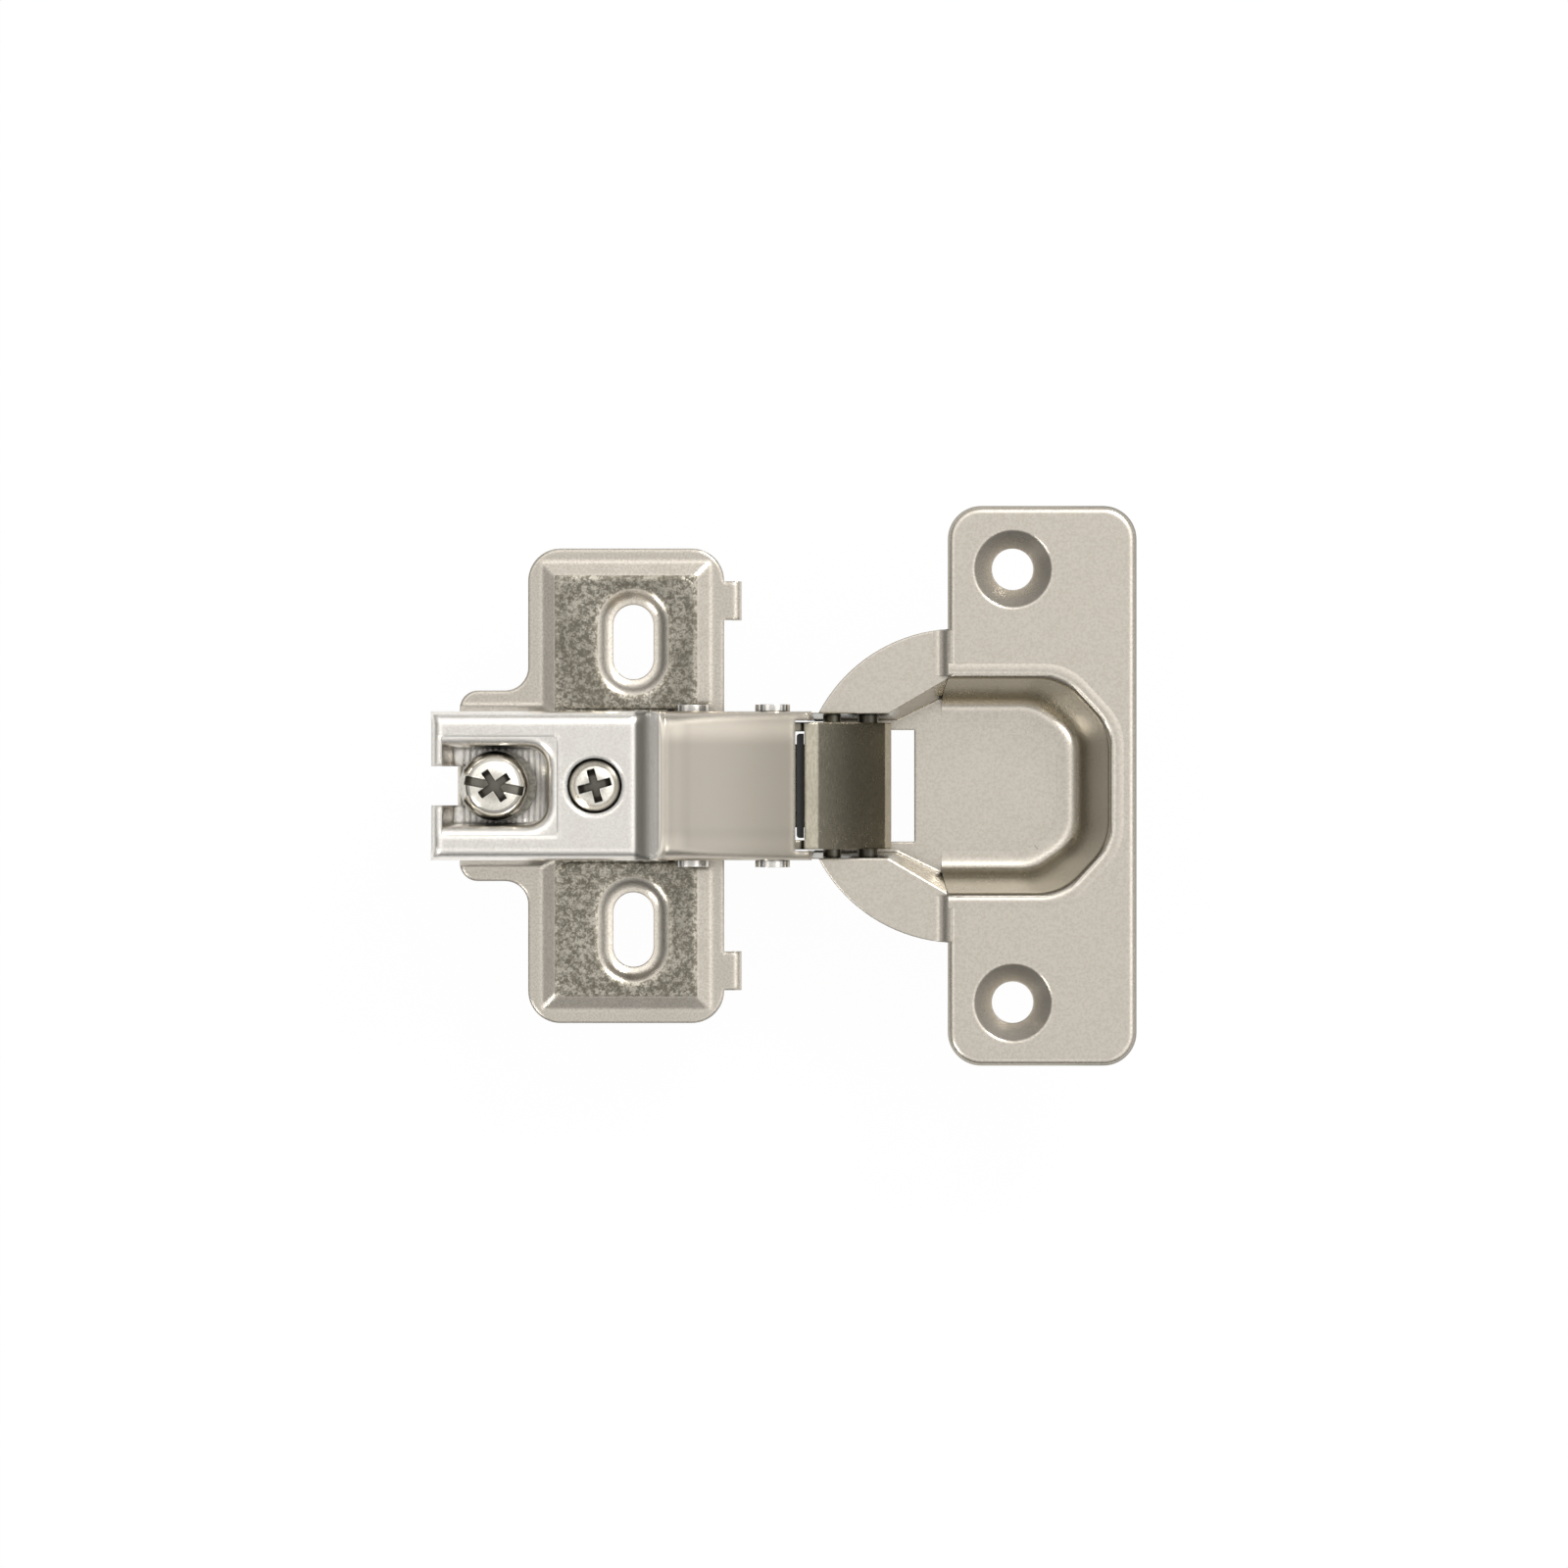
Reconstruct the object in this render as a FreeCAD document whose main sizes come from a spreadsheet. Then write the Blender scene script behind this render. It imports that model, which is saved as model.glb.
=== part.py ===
import FreeCAD, Part
import math
import os
import re
import Sketcher
from FreeCAD import Vector

os.makedirs("parts", exist_ok=True)
doc = FreeCAD.newDocument("cabinet_hinge")

# Driving dimensions
# The origin lies on the mounting plane, midway between the two plate slots.
# X runs to the cup, Y along the frame, Z out of the mounting plane.
DIMENSIONS = [
    # mounting plate
    ("plate_sheet", 1.2, "thickness of the plate"),
    ("plate_half", 26.4, "half the plate's length"),
    ("plate_back", 11.7, "slot axis to the plate's rear edge"),
    ("plate_front", 10.1, "slot axis to the plate's front edge"),
    ("plate_corner", 3.6, "corner radius of the plate"),
    ("ear_half", 10.6, "half width of the rear ears"),
    ("ear_back", 19.3, "slot axis to the end of the ears"),
    ("ear_corner", 2.0, "radius where an ear ends"),
    ("neck_corner", 2.6, "radius between ear and wing of the plate"),
    ("rim", 1.45, "flat rim round the raised pads"),
    ("pad_rise", 1.0, "height of the pads over the rim"),
    ("pad_flank", 1.7, "width of the slope round the pads"),
    ("slot_pitch", 32.0, "distance between the slots"),
    ("slot_width", 4.5, "width of a slot"),
    ("slot_length", 8.3, "length of a slot"),
    ("dish_width", 9.2, "width of the dish round a slot"),
    ("dish_length", 13.2, "length of the dish round a slot"),
    ("dish_flank", 1.3, "width of the slope in a dish"),
    ("bridge_half", 6.9, "half width of the bridge"),
    ("bridge_top", 8.2, "height of the bridge"),
    ("bridge_front", 3.9, "slot axis to the front end of the bridge"),
    ("bridge_foot", 2.1, "width of the bend at the foot of the bridge"),
    ("bridge_edge", 1.1, "radius along the top of the bridge"),
    ("tab_width", 4.3, "width of a locating tab"),
    ("tab_centre", 20.6, "middle of a locating tab"),
    ("tab_reach", 12.05, "slot axis to the outer face of a tab"),
    ("tab_drop", 2.6, "how far a tab reaches below the mounting plane"),
    ("tab_sheet", 1.1, "thickness of a tab"),
    # arm
    ("arm_sheet", 1.0, "thickness of the arm"),
    ("arm_half", 8.2, "half width of the arm"),
    ("arm_top", 13.2, "height of the arm"),
    ("arm_back", 22.1, "slot axis to the rear end of the arm"),
    ("arm_front", 19.8, "slot axis to the tips of the side walls"),
    ("arm_edge", 1.5, "radius along the top of the arm"),
    ("crown_end", 18.0, "slot axis to the front end of the arm's top"),
    ("crown_fall", 0.5, "fall of the front crown"),
    ("groove_back", 0.3, "rear edge of the cross groove"),
    ("groove_middle", 1.9, "deepest line of the cross groove"),
    ("groove_front", 3.7, "front edge of the cross groove"),
    ("groove_depth", 1.1, "depth of the cross groove"),
    ("pocket_back", 19.6, "rear end of the pocket floor"),
    ("pocket_front", 9.5, "front end of the pocket floor"),
    ("pocket_half", 4.1, "half width of the pocket floor"),
    ("pocket_flank", 1.3, "width of the slope round the pocket"),
    ("mouth_width", 4.3, "width of the slot for the clamp screw"),
    ("arm_travel", 1.0, "travel of the arm along the bridge, each way"),
    ("ridge_pitch", 0.7, "distance between the ridges"),
    ("ridge_depth", 0.22, "depth of the ridges"),
    ("seat_gap", 0.05, "gap between the arm's pocket floor and the bridge"),
    ("slide_gap", 0.3, "gap between the arm's walls and the plate"),
    # screws
    ("clamp_place", 15.1, "slot axis to the clamp screw, towards the rear"),
    ("clamp_head", 3.83, "radius of the clamp screw's head"),
    ("clamp_head_height", 2.5, "height of the clamp screw's head"),
    ("clamp_shank", 2.0, "radius of the clamp screw's shank"),
    ("clamp_turn", 11.0, "turn of the clamp screw's slot, clockwise"),
    ("washer_sheet", 0.8, "thickness of the clamp washer"),
    ("washer_radius", 3.9, "radius of the clamp washer"),
    ("washer_offset", 0.7, "how far the washer sits to the front"),
    ("nut_radius", 3.7, "radius of the clamp nut"),
    ("nut_height", 3.2, "height of the clamp nut"),
    ("overlay_place", 4.07, "slot axis to the overlay screw, towards the rear"),
    ("overlay_radius", 3.0, "radius of the overlay screw"),
    ("overlay_sink", 1.1, "top of the overlay screw under the arm's top"),
    ("overlay_neck", 1.6, "radius of the overlay screw's neck"),
    ("overlay_foot", 2.7, "radius of the overlay screw's foot"),
    ("overlay_turn", 15.0, "turn of the overlay screw's recess"),
    ("foot_sheet", 0.9, "thickness of the overlay screw's foot"),
    ("key_length", 4.0, "travel of the overlay screw along the bridge"),
    ("fit", 0.05, "running clearance of screws and pins"),
    # linkage
    ("front_x", 15.5, "front rivet, along X"),
    ("front_z", 9.6, "front rivet, height"),
    ("rear_x", 6.5, "rear rivet, along X"),
    ("rear_z", 3.8, "rear rivet, height"),
    ("outer_x", 26.1, "outer cup pin, along X"),
    ("outer_z", 0.76, "outer cup pin, height"),
    ("inner_x", 22.11, "inner cup pin, along X"),
    ("inner_z", 1.06, "inner cup pin, height"),
    ("rivet_radius", 1.15, "radius of the rivets and cup pins"),
    ("rivet_head", 1.93, "radius of the rivet heads"),
    ("rivet_head_height", 0.75, "height of the rivet heads"),
    ("inner_pin_radius", 1.0, "radius of the inner cup pin"),
    ("link_sheet", 1.0, "thickness of the links"),
    ("outer_half", 7.0, "half width of the outer link"),
    ("front_eye", 1.9, "radius of the outer link round the front rivet"),
    ("cup_eye", 2.6, "radius of the outer link round its cup pin"),
    ("web_start", 19.0, "slot axis to the rear end of the outer link's top"),
    ("inner_half", 4.6, "half width of the inner link"),
    ("inner_sheet", 1.1, "thickness of the inner link's cheeks"),
    ("rear_eye", 2.2, "radius of the inner link round the rear rivet"),
    ("crank_bottom", 5.5, "height of the inner link's underside over the door edge"),
    ("crank_top", 6.9, "height of the inner link's back"),
    ("crank_back", 12.6, "where the inner link's underside gets level"),
    ("crank_front", 19.3, "where the inner link's back turns down"),
    ("strap", 1.4, "thickness of the inner link's back"),
    ("fork_tilt", 37.3, "tilt of the fork's slot from upright"),
    ("fork_shift", 0.2, "shift of the fork's slot across its length"),
    ("fork_room", 0.46, "clearance of the open pivot on each side of the pin"),
    ("fork_top", 2.12, "slot end over the inner cup pin"),
    ("fork_reach", 2.0, "fork tips below the inner cup pin"),
    ("wire", 0.7, "thickness of the closing spring's wire"),
    ("coil_radius", 1.55, "middle radius of the closing spring's coils"),
    ("coil_pitch", 0.85, "pitch of the closing spring's coils"),
    ("coil_turns", 1, "full turns in each coil of the closing spring"),
    ("spring_top", 11.4, "height of the closing spring's cross wire"),
    ("spring_gap", 0.2, "clearance of the spring's legs"),
    ("shoe_half", 5.75, "half width of the spring shoe"),
    ("shoe_back", 18.15, "rear face of the spring shoe"),
    ("shoe_low", 8.6, "underside of the spring shoe"),
    ("shoe_top", 10.6, "top of the spring shoe"),
    # cup
    ("wing_top", 6.35, "height of the cup's wing"),
    ("wing_sheet", 1.2, "thickness of the wing"),
    ("wing_back", 34.9, "slot axis to the wing's rear edge"),
    ("wing_front", 55.8, "slot axis to the wing's front edge"),
    ("wing_half", 31.0, "half the wing's length"),
    ("wing_corner", 3.7, "corner radius of the wing"),
    ("wing_edge", 0.85, "radius of the wing's turned edge"),
    ("cup_x", 36.0, "centre of the cup"),
    ("cup_radius", 17.4, "radius of the cup"),
    ("cup_sheet", 0.8, "thickness of the cup's drawn walls"),
    ("collar", 2.6, "depth of the cup's collar under its sunk rim"),
    ("tray_depth", 10.6, "depth of the tray under the wing's top"),
    ("tray_back", 19.7, "rear end of the tray"),
    ("tray_front", 53.0, "front end of the tray's mouth"),
    ("tray_half", 12.15, "half width of the tray's mouth"),
    ("tray_side_back", 35.0, "where the tray's mouth gets its full width"),
    ("tray_side_front", 47.7, "where the tray's corners begin"),
    ("tray_nose", 6.4, "half width of the tray's front end"),
    ("throat_half", 8.1, "half width of the tray at the links"),
    ("throat_end", 28.2, "where the tray starts to widen"),
    ("floor_back", 20.2, "rear end of the tray's floor"),
    ("floor_front", 49.9, "front end of the tray's floor"),
    ("floor_half", 9.8, "half width of the tray's floor"),
    ("floor_side_back", 34.4, "where the floor gets its full width"),
    ("floor_side_front", 44.8, "where the floor's corners begin"),
    ("floor_nose", 6.3, "half width of the floor's front end"),
    ("floor_throat_half", 7.4, "half width of the floor at the links"),
    ("floor_throat_end", 29.4, "where the floor starts to widen"),
    ("window_back", 20.9, "rear end of the floor's window"),
    ("window_front", 31.35, "front end of the floor's window"),
    ("window_half", 6.25, "half width of the floor's window"),
    ("link_gap_half", 7.2, "half width of the gap for the links in the cup's rear edge"),
    ("hole_pitch", 48.0, "distance between the cup's screw holes"),
    ("hole_x", 42.1, "slot axis to the cup's screw holes"),
    ("hole_radius", 2.3, "radius of the cup's screw holes"),
    ("sink_radius", 4.35, "radius of the countersinks"),
    ("sink_depth", 1.7, "depth of the countersinks"),
]

sheet = doc.addObject("Spreadsheet::Sheet", "sizes")
for row, (name, size, meaning) in enumerate(DIMENSIONS, start=1):
    sheet.set("A%d" % row, name)
    sheet.set("B%d" % row, str(size))
    sheet.setAlias("B%d" % row, name)
    sheet.set("C%d" % row, meaning)
doc.recompute()
SIZE_NAMES = {name for name, size, meaning in DIMENSIONS}


# Helpers


def formula(text):
    """The text with every size name written as a reference to its cell."""
    def refer(word):
        return "sizes." + word.group() if word.group() in SIZE_NAMES else word.group()
    return re.sub(r"[a-z]+(?:_[a-z]+)*", refer, text)


def value(text):
    """The number that a formula gives with the sizes as they are."""
    return float(sheet.evalExpression(formula(text)))


def new_body(label):
    body = doc.addObject("PartDesign::Body", label)
    body.Label = label
    return body


def new_sketch(body, name, role, lift):
    plane = [item for item in body.Origin.OriginFeatures if item.Role == role][0]
    sketch = body.newObject("Sketcher::SketchObject", name)
    sketch.AttachmentSupport = [(plane, "")]
    sketch.MapMode = "FlatFace"
    sketch.setExpression("AttachmentOffset.Base.z", formula(lift))
    return sketch


def place_point(sketch, index, position, across, along):
    """Ties one point of a sketch to two size formulas."""
    for kind, text in (("DistanceX", across), ("DistanceY", along)):
        tie = sketch.addConstraint(Sketcher.Constraint(kind, index, position, value(text)))
        sketch.setExpression("Constraints[%d]" % tie, formula(text))


def draw_outline(body, name, role, corners, lift="0"):
    """A closed outline of straight runs, its corners given as size formulas."""
    sketch = new_sketch(body, name, role, lift)
    points = [Vector(value(across), value(along), 0) for across, along in corners]
    count = len(points)
    for index in range(count):
        run = Part.LineSegment(points[index], points[(index + 1) % count])
        sketch.addGeometry(run, False)
    for index in range(count):
        sketch.addConstraint(Sketcher.Constraint("Coincident", index, 2, (index + 1) % count, 1))
    for index, (across, along) in enumerate(corners):
        place_point(sketch, index, 1, across, along)
    return sketch


def draw_circle(body, name, role, across, along, radius, lift="0"):
    sketch = new_sketch(body, name, role, lift)
    centre = Vector(value(across), value(along), 0)
    sketch.addGeometry(Part.Circle(centre, Vector(0, 0, 1), value(radius)), False)
    place_point(sketch, 0, 3, across, along)
    tie = sketch.addConstraint(Sketcher.Constraint("Radius", 0, value(radius)))
    sketch.setExpression("Constraints[%d]" % tie, formula(radius))
    return sketch


def rectangle(back, front, low, high):
    return [(back, low), (front, low), (front, high), (back, high)]


def both_sides(half_outline):
    """A plan outline: the corners at +Y, then the same ones at -Y."""
    return half_outline + [(across, "-(%s)" % along) for across, along in reversed(half_outline)]


def both_halves(half_section):
    """A section in Y and Z: the corners at +Y, then the same ones at -Y."""
    return half_section + [("-(%s)" % across, high) for across, high in reversed(half_section)]


def extrude(body, name, sketch, length, symmetric=False, backwards=False, cut=False):
    feature = body.newObject("PartDesign::Pocket" if cut else "PartDesign::Pad", name)
    feature.Profile = sketch
    feature.setExpression("Length", formula(length))
    feature.Midplane = symmetric
    feature.Reversed = backwards
    return finish(body, feature)


def loft(body, name, first, last, cut=False):
    feature = body.newObject("PartDesign::SubtractiveLoft" if cut else "PartDesign::AdditiveLoft", name)
    feature.Profile = first
    feature.Sections = [last]
    feature.Ruled = True
    return finish(body, feature)


def finish(body, feature):
    """Recomputes a feature and makes sure that it changed its body."""
    before = feature.BaseFeature.Shape.Volume if feature.BaseFeature else 0.0
    doc.recompute()
    if abs(feature.Shape.Volume - before) < 1e-6:
        raise RuntimeError("%s changes nothing in %s" % (feature.Label, body.Label))
    return feature


def round_edges(body, name, radius, wanted):
    """Rounds the edges of the body's tip that the test wanted picks."""
    tip = body.Tip
    picked = ["Edge%d" % number for number, edge in enumerate(tip.Shape.Edges, start=1) if wanted(edge)]
    if not picked:
        raise RuntimeError("no edge found for %s in %s" % (name, body.Label))
    feature = body.newObject("PartDesign::Fillet", name)
    feature.Base = (tip, picked)
    feature.setExpression("Radius", formula(radius))
    return finish(body, feature)


def near(first, second, slack=0.02):
    return abs(first - second) < slack


def upright_at(spots):
    """A test for upright edges that stand at one of the spots, given as formulas."""
    places = [(value(across), value(along)) for across, along in spots]

    def wanted(edge):
        low, high = edge.Vertexes[0].Point, edge.Vertexes[-1].Point
        if not (near(low.x, high.x) and near(low.y, high.y)) or near(low.z, high.z):
            return False
        return any(near(low.x, across) and near(low.y, along) for across, along in places)
    return wanted


def crosswise_at(spots):
    """A test for edges along Y that lie at one of the spots in X and Z."""
    places = [(value(across), value(high)) for across, high in spots]

    def wanted(edge):
        first, last = edge.Vertexes[0].Point, edge.Vertexes[-1].Point
        if not (near(first.x, last.x) and near(first.z, last.z)) or near(first.y, last.y):
            return False
        return any(near(first.x, across) and near(first.z, high) for across, high in places)
    return wanted


# Mounting plate


def plate_pads(body):
    """The raised pads, pressed up from below, with the slots in their dishes."""
    foot_half = "plate_half - rim"
    top_half = "plate_half - rim - pad_flank"
    foot = rectangle("-plate_back + rim", "plate_front - rim", "-(%s)" % foot_half, foot_half)
    top = rectangle("-plate_back + rim + pad_flank", "plate_front - rim - pad_flank",
                    "-(%s)" % top_half, top_half)
    outside = [draw_outline(body, "pad_foot", "XY_Plane", foot, "plate_sheet"),
               draw_outline(body, "pad_top", "XY_Plane", top, "plate_sheet + pad_rise")]
    loft(body, "pads", *outside)
    inside = [draw_outline(body, "hollow_foot", "XY_Plane", foot, "0"),
              draw_outline(body, "hollow_top", "XY_Plane", top, "pad_rise")]
    loft(body, "pads_hollow", *inside, cut=True)
    for side, sign in (("left", ""), ("right", "-")):
        middle = "(%sslot_pitch / 2)" % sign
        wide = rectangle("-dish_width / 2", "dish_width / 2",
                         middle + " - dish_length / 2", middle + " + dish_length / 2")
        slim = rectangle("-dish_width / 2 + dish_flank", "dish_width / 2 - dish_flank",
                         middle + " - dish_length / 2 + dish_flank",
                         middle + " + dish_length / 2 - dish_flank")
        low = draw_outline(body, "dish_seat_" + side, "XY_Plane", slim, "0")
        high = draw_outline(body, "dish_body_" + side, "XY_Plane", wide, "pad_rise")
        loft(body, "dish_sheet_" + side, low, high)
        low = draw_outline(body, "dish_floor_" + side, "XY_Plane", slim, "plate_sheet")
        high = draw_outline(body, "dish_rim_" + side, "XY_Plane", wide, "plate_sheet + pad_rise")
        loft(body, "dish_" + side, low, high, cut=True)
        half_run = "(slot_length - slot_width) / 2"
        run = rectangle("-slot_width / 2", "slot_width / 2",
                        middle + " - " + half_run, middle + " + " + half_run)
        straight = draw_outline(body, "slot_run_" + side, "XY_Plane", run)
        extrude(body, "slot_" + side, straight, "plate_sheet", backwards=True, cut=True)
        for end, step in (("near", " - "), ("far", " + ")):
            round_end = draw_circle(body, "slot_end_%s_%s" % (side, end), "XY_Plane", "0",
                                    middle + step + half_run, "slot_width / 2")
            extrude(body, "slot_%s_%s" % (side, end), round_end, "plate_sheet",
                    backwards=True, cut=True)


def plate_bridge(body):
    """The raised channel that carries the arm, open at both ends."""
    gap = rectangle("bridge_front", "plate_front - rim", "-bridge_half - bridge_foot",
                    "bridge_half + bridge_foot")
    level = draw_outline(body, "rivet_gap_outline", "XY_Plane", gap, "plate_sheet")
    extrude(body, "rivet_gap", level, "pad_rise", backwards=True, cut=True)
    floor = draw_outline(body, "front_floor_outline", "XY_Plane", gap)
    extrude(body, "front_floor", floor, "plate_sheet")
    outer = both_halves([("bridge_half", "bridge_top"),
                         ("bridge_half", "plate_sheet + pad_rise + 0.6 * bridge_foot"),
                         ("bridge_half + bridge_foot", "plate_sheet"),
                         ("bridge_half + bridge_foot", "0")])
    hat = draw_outline(body, "bridge_outline", "YZ_Plane", outer, "-ear_back")
    extrude(body, "bridge", hat, "ear_back + bridge_front")
    top = value("bridge_top")
    half = value("bridge_half")

    def along_top(edge):
        ends = [vertex.Point for vertex in edge.Vertexes]
        return all(near(end.z, top) and near(abs(end.y), half) for end in ends)
    round_edges(body, "bridge_rounding", "bridge_edge", along_top)
    inner = both_halves([("bridge_half - plate_sheet", "bridge_top - plate_sheet"),
                         ("bridge_half - plate_sheet", "pad_rise + 0.6 * bridge_foot"),
                         ("bridge_half + bridge_foot - plate_sheet", "0")])
    hollow = draw_outline(body, "bridge_hollow_outline", "YZ_Plane", inner, "-ear_back")
    extrude(body, "bridge_hollow", hollow, "ear_back + bridge_front", backwards=True, cut=True)


def plate_holes(body):
    """The bridge's hole for the clamp nut and the key slot for the overlay screw."""
    nut = draw_circle(body, "nut_hole_outline", "XY_Plane", "-clamp_place", "0",
                      "clamp_shank + 0.8", "bridge_top")
    extrude(body, "nut_hole", nut, "plate_sheet", cut=True)
    key = rectangle("-overlay_place - key_length / 2", "-overlay_place + key_length / 2",
                    "-overlay_neck - fit", "overlay_neck + fit")
    slot = draw_outline(body, "key_slot_outline", "XY_Plane", key, "bridge_top")
    extrude(body, "key_slot", slot, "plate_sheet", cut=True)
    for end, sign in (("rear", "-"), ("front", "+")):
        wide = draw_circle(body, "key_%s_outline" % end, "XY_Plane",
                           "-overlay_place %s key_length / 2" % sign, "0",
                           "overlay_neck + fit", "bridge_top")
        extrude(body, "key_%s" % end, wide, "plate_sheet", cut=True)


def plate_tabs(body):
    """The two tabs that hook over the front of the frame."""
    for side, sign in (("left", ""), ("right", "-")):
        corners = [("plate_front - rim", "0"), ("tab_reach - tab_sheet", "0"),
                   ("tab_reach - tab_sheet", "-tab_drop"), ("tab_reach", "-tab_drop"),
                   ("tab_reach", "plate_sheet"), ("plate_front - rim", "plate_sheet")]
        lift = "-(%stab_centre) - tab_width / 2" % sign
        section = draw_outline(body, "tab_section_" + side, "XZ_Plane", corners, lift)
        extrude(body, "tab_" + side, section, "tab_width")
    round_edges(body, "tab_bend", "tab_sheet * 0.85", crosswise_at([("tab_reach", "plate_sheet")]))


def build_plate():
    body = new_body("mounting_plate")
    edge = both_sides([("-ear_back", "ear_half"), ("-plate_back", "ear_half"),
                     ("-plate_back", "plate_half"), ("plate_front", "plate_half")])
    flat = draw_outline(body, "plate_outline", "XY_Plane", edge)
    extrude(body, "plate", flat, "plate_sheet")
    round_edges(body, "plate_corners", "plate_corner", upright_at(
        [(x, y) for x in ("-plate_back", "plate_front") for y in ("plate_half", "-plate_half")]))
    round_edges(body, "neck_corners", "neck_corner", upright_at(
        [("-plate_back", "ear_half"), ("-plate_back", "-ear_half")]))
    round_edges(body, "ear_corners", "ear_corner", upright_at(
        [("-ear_back", "ear_half"), ("-ear_back", "-ear_half")]))
    plate_pads(body)
    plate_bridge(body)
    plate_holes(body)
    plate_tabs(body)
    return body


# Arm


def arm_top_line(drop):
    """The arm's top seen from the side, lowered by drop, front end first."""
    return [("arm_front + 3", "arm_top - crown_fall - %s" % drop),
            ("crown_end", "arm_top - crown_fall - %s" % drop),
            ("groove_front", "arm_top - %s" % drop),
            ("groove_middle", "arm_top - groove_depth - %s" % drop),
            ("groove_back", "arm_top - %s" % drop),
            ("-arm_back - 1", "arm_top - %s" % drop)]


def build_arm():
    body = new_body("arm")
    wall_bottom = "plate_sheet + pad_rise + 0.6 * bridge_foot + slide_gap"
    rivet_bottom = "plate_sheet + slide_gap"
    block = both_halves([("arm_half", rivet_bottom), ("arm_half", "arm_top")])
    section = draw_outline(body, "arm_section", "YZ_Plane", block, "-arm_back")
    extrude(body, "arm_block", section, "arm_back + arm_front")
    top = value("arm_top")
    half = value("arm_half")

    def along_top(edge):
        ends = [vertex.Point for vertex in edge.Vertexes]
        return all(near(end.z, top) and near(abs(end.y), half) for end in ends)
    round_edges(body, "arm_rounding", "arm_edge", along_top)
    above = arm_top_line("0") + [("-arm_back - 1", "arm_top + 3"), ("crown_end", "arm_top + 3"),
                                 ("arm_front + 3", "arm_top + 3")]
    crown = draw_outline(body, "crown_outline", "XZ_Plane", above)
    extrude(body, "crown", crown, "2 * arm_half + 2", symmetric=True, cut=True)
    below = [("-arm_back - 1", "0"), ("arm_front + 1", "0"),
             ("arm_front + 1", "front_z - 1.1 * rivet_head"),
             ("arm_front", "front_z - 1.1 * rivet_head"),
             ("front_x + rivet_head", "front_z - 1.6 * rivet_head"),
             ("front_x - 1.8 * rivet_head", "front_z - 1.6 * rivet_head"),
             ("rear_x + 1.5 * rivet_head", rivet_bottom),
             ("bridge_front + arm_travel", rivet_bottom),
             ("bridge_front + arm_travel", wall_bottom), ("-arm_back - 1", wall_bottom)]
    bottom = draw_outline(body, "wall_outline", "XZ_Plane", below)
    extrude(body, "wall_shape", bottom, "2 * arm_half + 2", symmetric=True, cut=True)
    inside = arm_top_line("arm_sheet")[1:]
    inside += [("-arm_back - 1", "0"), ("arm_front + 1", "0"), ("arm_front + 1", "arm_top + 1"),
               ("crown_end", "arm_top + 1")]
    hollow = draw_outline(body, "channel_outline", "XZ_Plane", inside)
    extrude(body, "channel", hollow, "2 * (arm_half - arm_sheet)", symmetric=True, cut=True)
    arm_pocket(body)
    arm_holes(body)
    round_edges(body, "wall_tips", "rivet_head * 0.75", crosswise_at(
        [("arm_front", "front_z - 1.1 * rivet_head")]))
    return body


def arm_pocket(body):
    """The pocket pressed down to the bridge, its ridges and its open slot."""
    floor = "bridge_top + seat_gap"
    narrow = rectangle("-pocket_back - arm_sheet", "-pocket_front + arm_sheet",
                       "-pocket_half - arm_sheet", "pocket_half + arm_sheet")
    wide = rectangle("-pocket_back - pocket_flank - arm_sheet / 2",
                     "-pocket_front + pocket_flank + arm_sheet / 2",
                     "-pocket_half - pocket_flank - arm_sheet / 2",
                     "pocket_half + pocket_flank + arm_sheet / 2")
    low = draw_outline(body, "pocket_base_outline", "XY_Plane", narrow, floor)
    high = draw_outline(body, "pocket_body_outline", "XY_Plane", wide, "arm_top - arm_sheet / 2")
    loft(body, "pocket_body", low, high)
    narrow = rectangle("-pocket_back", "-pocket_front", "-pocket_half", "pocket_half")
    wide = rectangle("-pocket_back - pocket_flank", "-pocket_front + pocket_flank",
                     "-pocket_half - pocket_flank", "pocket_half + pocket_flank")
    low = draw_outline(body, "pocket_floor_outline", "XY_Plane", narrow, floor + " + arm_sheet")
    high = draw_outline(body, "pocket_mouth_outline", "XY_Plane", wide, "arm_top")
    loft(body, "pocket", low, high, cut=True)
    ridge = [("-pocket_front - 0.5 * ridge_pitch", floor + " + arm_sheet"),
             ("-pocket_front - 0.8 * ridge_pitch", floor + " + arm_sheet - ridge_depth"),
             ("-pocket_front - 1.1 * ridge_pitch", floor + " + arm_sheet")]
    groove = draw_outline(body, "ridge_outline", "XZ_Plane", ridge)
    cut = extrude(body, "ridge", groove, "2 * pocket_half", symmetric=True, cut=True)
    pattern = body.newObject("PartDesign::LinearPattern", "ridges")
    pattern.Originals = [cut]
    pattern.Direction = (groove, ["H_Axis"])
    pattern.Reversed = True
    pattern.Occurrences = 13
    pattern.setExpression("Length", formula("12 * ridge_pitch"))
    body.Tip = pattern
    doc.recompute()
    open_end = rectangle("-arm_back - 1", "-clamp_place + arm_travel",
                         "-mouth_width / 2", "mouth_width / 2")
    mouth = draw_outline(body, "mouth_outline", "XY_Plane", open_end, "arm_top")
    extrude(body, "mouth", mouth, "arm_top - bridge_top", cut=True)
    end = draw_circle(body, "mouth_end_outline", "XY_Plane", "-clamp_place + arm_travel", "0",
                      "mouth_width / 2", "arm_top")
    extrude(body, "mouth_end", end, "arm_top - bridge_top", cut=True)


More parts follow.
